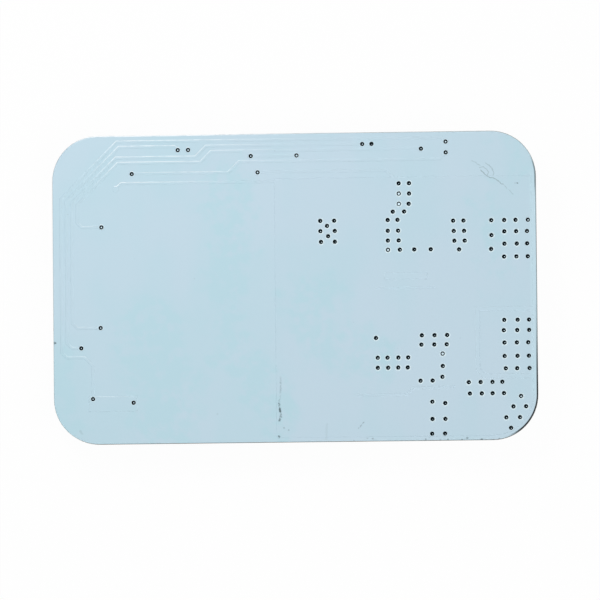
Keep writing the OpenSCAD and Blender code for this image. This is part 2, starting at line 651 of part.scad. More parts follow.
// The leads fold down and in, under the ends of the case
module surge_diode_leads() {
    color([0.78, 0.79, 0.8]) on_front(DIODE_PLACE) for (a = [-90, 90]) rotate(a)
        bar([[2.2, 1], [2.5, 1], [2.5, 0.2], [1.4, 0.2], [1.4, 0], [2.7, 0], [2.7, 1.2], [2.2, 1.2]], 1.5);
}

// ---------- plug header ----------

HOUSING_D = 7.6;
HOUSING_L = (PIN_COUNT - 1) * pin_pitch + 6;
WALL = 1;
FLOOR_T = 0.8;
CAVITY_D = 6.2;
PIN_W = 0.5;
PIN_Z = 2.5;

// The shell that a plug slides into: open towards the board's edge, with two key slots in
// its lid, a window in each end wall and a relief under its back edge for the bent pins
module header_housing() {
    color([0.9, 0.89, 0.84]) on_front(HEADER_PLACE) difference() {
        translate([0, -HOUSING_L / 2, 0]) cube([HOUSING_D, HOUSING_L, header_h]);
        translate([-1, -HOUSING_L / 2 + WALL, FLOOR_T])
            cube([CAVITY_D + 1, HOUSING_L - 2 * WALL, header_h - FLOOR_T - WALL + 0.1]);
        for (s = [-1, 1]) {
            translate([-1, s * (HOUSING_L / 2 - 3.4) - 0.9, header_h - 2]) cube([5, 1.8, 3]);
            translate([2.4, s * (HOUSING_L / 2 - WALL / 2) - 1, 1.9]) cube([1.6, 2, 1.4]);
        }
        translate([-1, -HOUSING_L / 2 + 6.4, header_h - 2]) cube([2.6, HOUSING_L - 12.8, 3]);
        for (k = [0:PIN_COUNT - 1]) translate([0, pin_y(k) - HEADER_PLACE[1], 0]) header_pin();
        translate([HOUSING_D - 0.7, -HOUSING_L / 2 + 1.6, -1]) cube([2, HOUSING_L - 3.2, PIN_Z + 1 - 0.4]);
    }
}

// One square pin: a tip in the cavity, a run through the back wall, and a foot on the board
module header_pin() {
    x_leg = 8.4;
    rotate(-90) bar([
        [1.2, PIN_Z + 0.12], [1.5, PIN_Z], [x_leg - PIN_W - 0.3, PIN_Z], [x_leg - PIN_W, PIN_Z - 0.3],
        [x_leg - PIN_W, 0.3], [x_leg - PIN_W + 0.3, 0], [9.7, 0], [9.7, PIN_W], [x_leg + 0.15, PIN_W],
        [x_leg, PIN_W + 0.15], [x_leg, PIN_Z + PIN_W - 0.3], [x_leg - 0.3, PIN_Z + PIN_W],
        [1.5, PIN_Z + PIN_W], [1.2, PIN_Z + PIN_W - 0.12]
    ], PIN_W);
}

module header_pins() {
    color([0.83, 0.82, 0.76]) for (k = [0:PIN_COUNT - 1])
        on_front([HEADER_PLACE[0], pin_y(k), 0]) header_pin();
}

// An angle of sheet metal at each end, soldered down to take the pull of the plug
module header_hold_downs() {
    color([0.78, 0.79, 0.8]) on_front([HEADER_PLACE[0] + 2.5, HEADER_PLACE[1], 0])
        for (a = [0, 180]) rotate(a) translate([0, HOUSING_L / 2, 0])
            bar([[0, 0], [2, 0], [2, 0.4], [0.4, 0.4], [0.4, 1.7], [0, 1.7]], 3);
}

// ---------- the model ----------

laminate();
back_copper();
front_copper();
plated_holes();
hole_solder();
back_solder_mask();
front_solder_mask();
solder_joints();
wire_pads();
for (k = [1:FET_COUNT]) {
    fet_case(FETS[k - 1]);
    fet_leadframe(FETS[k - 1]);
}
for (k = [1:SHUNTS]) {
    shunt(k - 1);
    shunt_coat(k - 1);
}
protection_ic();
protection_ic_leads();
header_housing();
header_pins();
header_hold_downs();
for (k = [1:CELL_COUNT]) {
    balance_resistor(k - 1);
    balance_transistor(k - 1);
}
balance_resistor_caps();
balance_transistor_leads();
small_resistors();
small_capacitors();
small_chip_caps();
regulator();
regulator_leads();
surge_diode();
surge_diode_leads();
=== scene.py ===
"""The looks of a battery protection board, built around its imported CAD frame.

The board lies on its parts with its bare back face up. Sizes in the classes are in millimetres,
as such a board is drawn, and meshes are made in metres. The parts, holes and copper are where the
frame has them, and marks of wear are placed from the board's centre.
"""

import logging
import math
import re
from dataclasses import dataclass
from enum import Enum
from functools import lru_cache, reduce
from random import Random
from typing import Iterator, Union

import bmesh
import bpy
from mathutils import Matrix, Vector
from mathutils.geometry import delaunay_2d_cdt
from mathutils.kdtree import KDTree


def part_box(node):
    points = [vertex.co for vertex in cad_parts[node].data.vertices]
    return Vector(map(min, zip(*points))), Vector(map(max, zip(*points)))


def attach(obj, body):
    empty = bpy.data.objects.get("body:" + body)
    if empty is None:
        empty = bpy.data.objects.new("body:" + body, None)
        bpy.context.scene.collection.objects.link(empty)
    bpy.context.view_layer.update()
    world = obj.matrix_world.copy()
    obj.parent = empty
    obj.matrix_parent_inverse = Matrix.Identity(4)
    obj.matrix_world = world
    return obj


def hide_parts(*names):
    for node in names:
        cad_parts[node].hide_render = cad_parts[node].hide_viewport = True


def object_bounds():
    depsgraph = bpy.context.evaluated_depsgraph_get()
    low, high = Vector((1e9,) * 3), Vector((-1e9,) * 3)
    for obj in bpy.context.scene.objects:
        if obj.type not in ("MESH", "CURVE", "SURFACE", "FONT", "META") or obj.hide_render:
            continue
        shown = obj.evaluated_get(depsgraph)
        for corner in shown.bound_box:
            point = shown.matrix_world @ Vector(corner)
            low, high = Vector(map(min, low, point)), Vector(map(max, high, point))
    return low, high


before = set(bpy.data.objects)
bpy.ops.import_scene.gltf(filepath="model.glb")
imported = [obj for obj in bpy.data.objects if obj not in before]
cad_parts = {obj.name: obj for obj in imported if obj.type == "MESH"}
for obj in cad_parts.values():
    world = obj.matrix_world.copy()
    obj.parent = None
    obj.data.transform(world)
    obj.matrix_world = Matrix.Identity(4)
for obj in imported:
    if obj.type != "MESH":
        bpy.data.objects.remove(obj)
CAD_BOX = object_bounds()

log = logging.getLogger("board")

# Lengths here are in metres where the line doesn't say otherwise, and angles in radians.
MM = 0.001  # a millimetre
BODY = "root"  # the body that every piece rides on
WELD = 2e-7  # vertices nearer than this are merged
FLAT = 1e-5  # heights nearer than this are on one level
UPWARDS = 0.99  # a face whose normal rises more than this faces up
SAME_RADIUS = 2e-6  # radii nearer than this belong to one arc
SAME_SPOT = 1e-6  # points nearer than this, in millimetres, are one where a flat is filled
TRIANGLES = 0  # the kind of filling that gives every triangle
FACET_TURN = math.radians(1)  # facets that turn less than this are one flat
EDGE_TURN = math.radians(35)  # edges that turn more than this are rounded
EDGE_FACES = 2  # the faces across each rounded edge

Term = Union["Value", float, tuple, bpy.types.ID]


# ---------- node trees as expressions ----------


class Value:
    """One output of a node. Arithmetic on it adds Math nodes to its tree."""

    def __init__(self, graph: "Graph", socket: bpy.types.NodeSocket) -> None:
        """Wraps a socket of a graph."""
        self.graph = graph
        self.socket = socket

    def _math(self, operation: str, first: Term, second: Term) -> "Value":
        """Adds one Math node for two terms."""
        return self.graph.node("ShaderNodeMath", {"operation": operation}, {0: first, 1: second})

    def __add__(self, other: Term) -> "Value":
        """Sum with a value or number."""
        return self._math("ADD", self, other)

    def __radd__(self, other: Term) -> "Value":
        """Sum, reflected."""
        return self._math("ADD", other, self)

    def __sub__(self, other: Term) -> "Value":
        """Difference with a value or number."""
        return self._math("SUBTRACT", self, other)

    def __rsub__(self, other: Term) -> "Value":
        """Difference, reflected."""
        return self._math("SUBTRACT", other, self)

    def __mul__(self, other: Term) -> "Value":
        """Product with a value or number."""
        return self._math("MULTIPLY", self, other)

    def __rmul__(self, other: Term) -> "Value":
        """Product, reflected."""
        return self._math("MULTIPLY", other, self)

    def lesser(self, other: Term) -> "Value":
        """The smaller of this and another term."""
        return self._math("MINIMUM", self, other)

    def greater(self, other: Term) -> "Value":
        """The larger of this and another term."""
        return self._math("MAXIMUM", self, other)

    def clamped(self, high: float = 1.0) -> "Value":
        """This value held between 0 and a limit."""
        return self.graph.node("ShaderNodeClamp", inputs={"Value": self, "Max": high})

    def size(self) -> "Value":
        """This value without its sign."""
        return self.graph.node("ShaderNodeMath", {"operation": "ABSOLUTE"}, {0: self})

    def ramp(self, low: float, high: float) -> "Value":
        """A smooth step from 0 at low to 1 at high, or falling where low is above high.

        Args:
            low: where the step starts.
            high: where it ends.

        Returns:
            The step as a value.
        """
        inputs = {
            "Value": self,
            "From Min": min(low, high),
            "From Max": max(low, high),
            "To Min": float(low > high),
            "To Max": float(low <= high),
        }
        return self.graph.node("ShaderNodeMapRange", {"interpolation_type": "SMOOTHSTEP"}, inputs)


class Graph:
    """A node tree that gives its nodes' outputs as values."""

    def __init__(self, tree: bpy.types.NodeTree) -> None:
        """Works on a tree."""
        self.tree = tree

    def node(
        self, kind: str, settings: dict | None = None, inputs: dict | None = None, output: int | str = 0
    ) -> Value:
        """Adds one node.

        Args:
            kind: the node's type.
            settings: its own settings, such as operation, set first.
            inputs: the values or links of its sockets, by name or number.
            output: the socket that is returned.

        Returns:
            The chosen output as a value.
        """
        made = self.tree.nodes.new(kind)
        for name, setting in (settings or {}).items():
            setattr(made, name, setting)
        for key, term in (inputs or {}).items():
            if isinstance(term, Value):
                self.tree.links.new(term.socket, made.inputs[key])
            else:
                made.inputs[key].default_value = term
        return Value(self, made.outputs[output])

    def vector(self, operation: str, first: Term, second: Term | None = None) -> Value:
        """Adds one Vector Math node, and returns its number where the operation gives one.

        Args:
            operation: the node's operation.
            first: its first input.
            second: its second, if it has one.

        Returns:
            The vector or number.
        """
        number = operation in ("DOT_PRODUCT", "LENGTH", "DISTANCE")
        inputs = {0: first} if second is None else {0: first, 1: second}
        return self.node("ShaderNodeVectorMath", {"operation": operation}, inputs, int(number))

    def scaled(self, vector: Term, factor: Term) -> Value:
        """A vector times a number."""
        return self.node("ShaderNodeVectorMath", {"operation": "SCALE"}, {0: vector, "Scale": factor})

    def joined(self, x: Term, y: Term, z: Term) -> Value:
        """A vector from its three parts."""
        return self.node("ShaderNodeCombineXYZ", inputs={0: x, 1: y, 2: z})

    def parts(self, vector: Value) -> tuple[Value, Value, Value]:
        """The three parts of a vector."""
        split = self.node("ShaderNodeSeparateXYZ", inputs={0: vector}).socket.node
        return tuple(Value(self, socket) for socket in split.outputs)

    def seen(self) -> Value:
        """1 for what is seen directly, in gloss or through glass, and 0 for light on its way.

        Returns:
            The share as a value.
        """
        path = self.tree.nodes.new("ShaderNodeLightPath")
        camera = Value(self, path.outputs["Is Camera Ray"])
        glossy = Value(self, path.outputs["Is Glossy Ray"])
        through = Value(self, path.outputs["Is Transmission Ray"])
        return camera.greater(glossy).greater(through)


Colour = tuple[float, float, float, float]

WHITE: Colour = (1.0, 1.0, 1.0, 1.0)
BLACK: Colour = (0.0, 0.0, 0.0, 1.0)


def grey(level: float) -> Colour:
    """A neutral colour, as linear light."""
    return (level, level, level, 1.0)


def tint(red: int, green: int, blue: int) -> Colour:
    """A colour given as it shows on a screen, from 0 to 255, as linear light by the sRGB curve.

    Args:
        red: its red, from 0 to 255.
        green: its green.
        blue: its blue.

    Returns:
        The opaque colour.
    """
    linear = []
    for shown in (red / 255, green / 255, blue / 255):
        linear.append(((shown + 0.055) / 1.055) ** 2.4 if shown > 0.04045 else shown / 12.92)
    return (*linear, 1)


class Shader(Graph):
    """The node tree of one material."""

    def __init__(self, name: str) -> None:
        """Makes a material that holds only its output node.

        Args:
            name: the material's name.
        """
        self.material = bpy.data.materials.new(name)
        self.material.use_nodes = True
        super().__init__(self.material.node_tree)
        self.tree.nodes.clear()
        self.sink = self.tree.nodes.new("ShaderNodeOutputMaterial")

    def surface(self, shader: Value) -> bpy.types.Material:
        """Shows a shader and returns the material."""
        self.tree.links.new(shader.socket, self.sink.inputs["Surface"])
        return self.material

    def principled(self, **inputs: Term) -> Value:
        """A Principled BSDF, with the sockets' names written with underscores."""
        sockets = {name.replace("_", " "): term for name, term in inputs.items()}
        return self.node("ShaderNodeBsdfPrincipled", inputs=sockets)

    def place(self) -> Value:
        """The point on the piece, in millimetres."""
        return self.scaled(self.node("ShaderNodeTexCoord", output="Object"), 1 / MM)

    def attribute(self, name: str, output: str) -> Value:
        """A named attribute of the mesh: output Fac is a number and Vector a vector."""
        return self.node("ShaderNodeAttribute", {"attribute_name": name}, output=output)

    def noise(self, at: Value, scale: float, detail: float = 2, output: str = "Fac") -> Value:
        """Seeded noise with about `scale` cells a millimetre."""
        inputs = {"Vector": at, "Scale": scale, "Detail": detail}
        return self.node("ShaderNodeTexNoise", inputs=inputs, output=output)

    def shaken(self, at: Value, swirl: Value, reach: float) -> Value:
        """A place moved about by coloured noise, so that a mark's outline isn't straight."""
        way = self.vector("SUBTRACT", swirl, (0.5, 0.5, 0.5))
        return self.vector("ADD", at, self.scaled(way, reach))

    def cells(self, at: Value, scale: float) -> Value:
        """Distance to the nearest of scattered points."""
        inputs = {"Vector": at, "Scale": scale}
        return self.node("ShaderNodeTexVoronoi", inputs=inputs, output="Distance")

    def mix(self, factor: Term, first: Term, second: Term) -> Value:
        """A blend of two colours."""
        return self.node("ShaderNodeMix", {"data_type": "RGBA"}, {0: factor, 6: first, 7: second}, 2)

    def bump(self, height: Value, depth: float) -> Value:
        """A normal from a height of 0 to 1 that stands for `depth` millimetres."""
        inputs = {"Height": height, "Distance": depth * MM, "Strength": 1.0}
        return self.node("ShaderNodeBump", inputs=inputs)


class Grower(Graph):
    """A Geometry Nodes tree with named inputs, run once to leave a plain mesh."""

    def __init__(self, name: str) -> None:
        """Makes the tree with its geometry input and output.

        Args:
            name: the tree's name.
        """
        super().__init__(bpy.data.node_groups.new(name, "GeometryNodeTree"))
        self.tree.interface.new_socket("Geometry", in_out="INPUT", socket_type="NodeSocketGeometry")
        self.tree.interface.new_socket("Geometry", in_out="OUTPUT", socket_type="NodeSocketGeometry")
        self.source = self.tree.nodes.new("NodeGroupInput")
        self.sink = self.tree.nodes.new("NodeGroupOutput")
        self.points = Value(self, self.source.outputs["Geometry"])

    def input(self, name: str, kind: str = "Float") -> Value:
        """Adds a named input to the tree."""
        self.tree.interface.new_socket(name, in_out="INPUT", socket_type=f"NodeSocket{kind}")
        return Value(self, self.source.outputs[name])

    def named(self, name: str, kind: str = "FLOAT") -> Value:
        """An attribute of the points."""
        return self.node("GeometryNodeInputNamedAttribute", {"data_type": kind}, {"Name": name})

    def end(self, geometry: Value, material: bpy.types.Material) -> None:
        """Closes the tree with Realize Instances and Set Material.

        Args:
            geometry: what the tree has made.
            material: what it is dressed in.
        """
        real = self.node("GeometryNodeRealizeInstances", inputs={"Geometry": geometry})
        dressed = self.node("GeometryNodeSetMaterial", inputs={"Geometry": real, "Material": material})
        self.tree.links.new(dressed.socket, self.sink.inputs["Geometry"])

    def run(self, name: str, seeds: bpy.types.Mesh, **inputs: Term) -> bpy.types.Object:
        """Runs the tree on a mesh of points.

        Args:
            name: the name of the new piece.
            seeds: the points, with their attributes.
            inputs: the tree's inputs by name.

        Returns:
            A new object with a plain mesh.
        """
        piece = placed(name, seeds)
        modifier = piece.modifiers.new("grow", "NODES")
        modifier.node_group = self.tree
        for item in self.tree.interface.items_tree:
            if item.in_out == "INPUT" and item.name in inputs:
                modifier[item.identifier] = inputs[item.name]
        graph = bpy.context.evaluated_depsgraph_get()
        mesh = bpy.data.meshes.new_from_object(piece.evaluated_get(graph))
        piece.modifiers.clear()
        piece.data = mesh
        return piece


# ---------- meshes ----------


def placed(name: str, mesh: bpy.types.Mesh) -> bpy.types.Object:
    """Puts a mesh into the scene as an object at the origin.

    Args:
        name: the object's name.
        mesh: its mesh.

    Returns:
        The object.
    """
    piece = bpy.data.objects.new(name, mesh)
    bpy.context.scene.collection.objects.link(piece)
    return piece


def as_mesh(name: str, bm: bmesh.types.BMesh) -> bpy.types.Mesh:
    """Turns a BMesh into a mesh and frees it.

    Args:
        name: the mesh's name.
        bm: what it is made from.

    Returns:
        The mesh.
    """
    mesh = bpy.data.meshes.new(name)
    bm.to_mesh(mesh)
    bm.free()
    return mesh


def welded(node: str) -> bmesh.types.BMesh:
    """A copy of a CAD node's mesh with its doubles merged.

    Args:
        node: the CAD node.

    Returns:
        The copy, which the caller frees.
    """
    bm = bmesh.new()
    bm.from_mesh(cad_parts[node].data)
    bmesh.ops.remove_doubles(bm, verts=bm.verts, dist=WELD)
    return bm


def islands(node: str) -> list[tuple[Vector, Vector]]:
    """The box of each separate solid of a CAD node, as its lowest and highest corners.

    Args:
        node: the CAD node.

    Returns:
        A pair of corners for each solid.
    """
    bm = welded(node)
    seen: set[bmesh.types.BMVert] = set()
    boxes = []
    for start in bm.verts:
        if start in seen:
            continue
        seen.add(start)
        group, edge = [start], [start]
        while edge:
            for link in edge.pop().link_edges:
                for vert in link.verts:
                    if vert not in seen:
                        seen.add(vert)
                        group.append(vert)
                        edge.append(vert)
        low = Vector(min(v.co[i] for v in group) for i in range(3))
        high = Vector(max(v.co[i] for v in group) for i in range(3))
        boxes.append((low, high))
    bm.free()
    return boxes


Line = list[bmesh.types.BMVert]


def neighbours(line: list) -> Iterator[tuple]:
    """Each item of a closed line with the one after it."""
    return zip(line, line[1:] + line[:1])


def corners(line: list) -> Iterator[tuple]:
    """Each item of a closed line, after the one before it and before the one after it."""
    return zip(line[-1:] + line[:-1], line, line[1:] + line[:1])


def seen_from_above(places: list[Vector]) -> KDTree:
    """A search tree of places that leaves out their heights.

    Args:
        places: the places, in metres.

    Returns:
        The tree, balanced, with each place's number.
    """
    tree = KDTree(len(places))
    for i, place in enumerate(places):
        tree.insert((place.x, place.y, 0), i)
    tree.balance()
    return tree


def strip(bm: bmesh.types.BMesh, first: Line, second: Line) -> None:
    """Joins two closed lines of vertices with smooth faces."""
    for (a, b), (c, d) in zip(neighbours(first), neighbours(second)):
        bm.faces.new((a, c, d, b)).smooth = True


def lathe(profile: list[tuple[float, float]], steps: int) -> bmesh.types.BMesh:
    """Turns a closed profile of (radius, height) points about Z.

    Args:
        profile: the section in millimetres, anticlockwise with radius to the right.
        steps: the number of faces round the axis.

    Returns:
        A closed solid with its pole merged.
    """
    bm = bmesh.new()
    rings = []
    for k in range(steps):
        c, s = math.cos(math.tau * k / steps), math.sin(math.tau * k / steps)
        rings.append([bm.verts.new((r * c * MM, r * s * MM, z * MM)) for r, z in profile])
    for ring, after in neighbours(rings):
        strip(bm, ring, after)
    bmesh.ops.remove_doubles(bm, verts=bm.verts, dist=WELD)
    bmesh.ops.recalc_face_normals(bm, faces=bm.faces)
    return bm


def stands_for(piece: bpy.types.Object, finish: "Finish", *nodes: str) -> None:
    """Dresses a new piece and shows it in place of CAD nodes.

    Args:
        piece: the new piece.
        finish: its finish.
        nodes: the CAD nodes that it replaces.
    """
    if not piece.data.materials:
        piece.data.materials.append(finish.material())
    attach(piece, BODY)
    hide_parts(*nodes)
    log.info("%s: %d faces for %s", piece.name, len(piece.data.polygons), ", ".join(nodes))


def dress(node: str, finish: "Finish") -> None:
    """Gives a CAD node that stays as it is its material.

    Args:
        node: the CAD node.
        finish: its finish.
    """
    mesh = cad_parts[node].data
    for slot in range(len(mesh.materials)):
        mesh.materials[slot] = finish.material()
    log.info("%s: dressed as %s", node, finish.name)


def soften(node: str, finish: "Finish", radius: float) -> None:
    """Replaces a CAD node with a copy whose edges are rounded.

    Args:
        node: the CAD node.
        finish: the copy's finish.
        radius: the rounding in millimetres.
    """
    bm = welded(node)
    bmesh.ops.dissolve_limit(bm, angle_limit=FACET_TURN, verts=bm.verts, edges=bm.edges)
    mesh = as_mesh(f"{node}_soft", bm)
    mesh.shade_smooth()
    piece = placed(f"{node}_soft", mesh)
    bevel = piece.modifiers.new("rounding", "BEVEL")
    bevel.width = radius * MM
    bevel.segments = EDGE_FACES
    bevel.limit_method = "ANGLE"
    bevel.angle_limit = EDGE_TURN
    bevel.harden_normals = True
    stands_for(piece, finish, node)


# ---------- marks on the ink ----------


@dataclass(frozen=True)
class Stroke:
    """A scratch or smudge along a path on the back face, in millimetres from the board's centre.

    Attributes:
        path: the points that it follows.
        width: how far from the path it ends.
        strength: its cover on the path.
        core: the share of its width that has its full cover.
    """

    path: tuple[tuple[float, float], ...]
    width: float
    strength: float
    core: float = 0.3

    def cover(self, shader: Shader, at: Value) -> Value:
        """How strongly the stroke covers each point.

        Args:
            shader: the material's tree.
            at: the point in the plane of the face.

        Returns:
            A value from 0 to the stroke's strength.
        """
        gaps = []
        for start, end in zip(self.path, self.path[1:]):
            run = (end[0] - start[0], end[1] - start[1], 0)
            squared = run[0] ** 2 + run[1] ** 2
            offset = shader.vector("SUBTRACT", at, (*start, 0))
            along = shader.vector("DOT_PRODUCT", offset, (run[0] / squared, run[1] / squared, 0))
            gaps.append(shader.vector("DISTANCE", offset, shader.scaled(run, along.clamped())))
        return reduce(Value.lesser, gaps).ramp(self.width, self.width * self.core) * self.strength


def strongest(strokes: tuple[Stroke, ...], shader: Shader, at: Value) -> Value:
    """The cover of the strongest of several strokes at each point."""
    return reduce(Value.greater, [stroke.cover(shader, at) for stroke in strokes])


SOIL = (
    Stroke(((-2.9, -17.4), (-2.92, -20.1), (-3.08, -21.4), (-3.24, -22.5)), 0.26, 0.3),
    Stroke(((-3.24, -22.5), (-3.1, -23.3), (-3.06, -24.0), (-2.9, -24.8), (-3.2, -25.8)), 0.3, 0.9),
    Stroke(((-2.39, -27.23), (-2.35, -27.3)), 0.28, 0.35),
    Stroke(((-1.44, -27.67), (-1.4, -27.7)), 0.3, 0.45),
    Stroke(((-3.38, -28.93), (-3.3, -29.0)), 0.34, 0.9),
    Stroke(((43.05, 19.78), (43.08, 19.78)), 0.18, 0.5),
    Stroke(((43.44, 19.74), (43.47, 19.7)), 0.2, 0.8),
    Stroke(((-46.75, -10.1), (-46.95, -10.2)), 0.36, 0.8),
    Stroke(((12.1, -27.5), (13.2, -26.4)), 0.16, 0.4),
)
WASHES = (
    Stroke(((-13.6, 20.0), (-12.0, 9.0), (-14.5, 2.0)), 7.0, 0.9),
    Stroke(((-28.0, -9.0), (-24.0, -20.0), (-25.0, -30.0)), 10.0, 0.9),
    Stroke(((-12.5, -7.0), (-7.0, -19.0), (-2.0, -28.0)), 6.0, 0.9),
    Stroke(((3.0, -2.0), (6.0, -10.0), (14.0, -14.0)), 8.0, 0.9),
    Stroke(((38.0, 20.0), (38.5, 2.0)), 3.0, 0.6),
    Stroke(((-46.0, -14.0), (-45.0, -29.0)), 5.0, 0.6),
    Stroke(((41.0, 27.0), (43.5, 22.0)), 4.0, 0.5),
)
SCRATCHES = (
    Stroke(
        ((36.4, 22.3), (37.0, 21.7), (38.0, 20.9), (38.9, 20.8), (39.8, 20.1), (40.7, 19.6)), 0.15, 1.0
    ),
    Stroke(((40.7, 19.6), (41.3, 18.9), (42.6, 17.6)), 0.13, 0.55),
    Stroke(((37.3, 23.7), (38.0, 23.3), (38.6, 22.6), (38.9, 21.9), (38.8, 21.2)), 0.14, 0.7),
    Stroke(((36.2, 22.8), (36.9, 23.0), (37.5, 22.5), (37.9, 21.9), (37.6, 21.3)), 0.14, 0.7),
    Stroke(((34.6, 24.2), (35.4, 23.9), (36.3, 23.2)), 0.14, 0.5),
    Stroke(((6.0, -26.6), (5.8, -29.5)), 0.3, 0.2),
    Stroke(((-41.9, -27.4), (-41.6, -27.9)), 0.3, 0.35),
    Stroke(((-15.3, -24.4), (-15.2, -24.4)), 0.3, 0.3),
)


# ---------- finishes ----------


@dataclass(frozen=True)
class Finish:
    """A surface finish: a name, the record's material slot, and a way to paint it."""

    name: str
    slot: str

    @lru_cache
    def material(self) -> bpy.types.Material:
        """The material, made once."""
        return self.paint(Shader(self.name))

    def paint(self, shader: Shader) -> bpy.types.Material:
        """Builds the nodes of the material.

        Args:
            shader: the material's tree.

        Returns:
            The finished material.
        """
        raise NotImplementedError


@dataclass(frozen=True)
class Ink(Finish):
    """Solder mask: a pale ink, cloudy in tint, pale at its edges where thinned and where light is
    painted, with painted shade towards the lower right, and a soft gloss.

    Places are in millimetres from the board's centre, and levels are heights above the table.
    """

    cool: Colour = tint(185, 216, 227)
    warm: Colour = tint(194, 216, 229)
    painted_shade: Colour = tint(150, 180, 192)
    painted_shade_share: float = 0.03
    copper: Colour = tint(150, 165, 190)
    copper_share: float = 0.012
    copper_level: tuple[float, float] = (7.14, 7.18)
    # The pale tint of thinned ink, which also stands in for painted fill light and a painted highlight
    # on lips.
    thin: Colour = tint(222, 240, 245)
    roughness: float = 0.42
    specular: float = 0.3
    relief_depth: float = 0.016
    board: tuple[float, float] = (94.0, 60.0)

    def paint(self, shader: Shader) -> bpy.types.Material:
        """Builds the nodes of the material.

        Args:
            shader: the material's tree.

        Returns:
            The finished material.
        """
        at = shader.place()
        colour = self.coloured(shader, at, self.warmth(shader, at))
        return self.coated(shader, colour, self.relief(shader, at), self.gloss(shader, at))

    def warmth(self, shader: Shader, at: Value) -> Value:
        """How warm the tint is at each point, in broad clouds.

        Args:
            shader: the material's tree.
            at: the point on the piece.

        Returns:
            A value from 0.5 to 1.
        """
        x, y, _ = shader.parts(at)
        drift = shader.noise(shader.joined(x, y * 0.25, 0.0), 0.11, 2)
        clouds = shader.noise(at, 0.06, 3) * 0.6 + drift * 0.4
        return clouds.ramp(0.4, 0.6) * 0.5 + 0.5

    def coloured(self, shader: Shader, at: Value, warmth: Value) -> Value:
        """The ink's colour, with painted shade a little darker to the lower right, a little darker over
        copper, and pale where thinned and where light is painted.

        Args:
            shader: the material's tree.
            at: the point on the piece.
            warmth: how warm the tint is.

        Returns:
            The colour.
        """
        x, y, z = shader.parts(at)
        colour = shader.mix(warmth.clamped(), self.cool, self.warm)
        # Painted shade: the ink darkens a little towards the lower right, as the lamps' light falls
        # off.
        shade_falloff = (y * (-0.5 / self.board[1]) + x * (0.1 / self.board[0]) + 0.5).clamped()
        colour = shader.mix(shade_falloff * self.painted_shade_share, colour, self.painted_shade)
        colour = shader.mix(z.ramp(*self.copper_level) * self.copper_share, colour, self.copper)
        # The pale tint marks thinned ink, and is also painted fill light on walls facing away from the
        # window lamp and a painted highlight on the lips' lit side.
        thin = shader.attribute("thin", "Fac") * 1.1
        return shader.mix(thin.clamped(), colour, self.thin)

    def relief(self, shader: Shader, at: Value) -> Value:
        """The height of the ink's skin: a gentle wave with a fine tooth."""
        return shader.noise(at, 0.9, 3) + shader.noise(at, 5.0, 3) * 0.08

    def gloss(self, shader: Shader, at: Value) -> Value:
        """The roughness, which follows the wave."""
        return self.roughness + 0.2 * (shader.noise(at, 0.9, 3) - 0.4)

    def coated(self, shader: Shader, colour: Value, relief: Value, rough: Value) -> bpy.types.Material:
        """Closes the material.

        Args:
            shader: the material's tree.
            colour: the base colour.
            relief: the height of the skin.
            rough: the roughness.

        Returns:
            The finished material.
        """
        body = shader.principled(
            Base_Color=colour,
            Roughness=rough,
            Normal=shader.bump(relief, self.relief_depth),
            Specular_IOR_Level=self.specular,
        )
        return shader.surface(body)


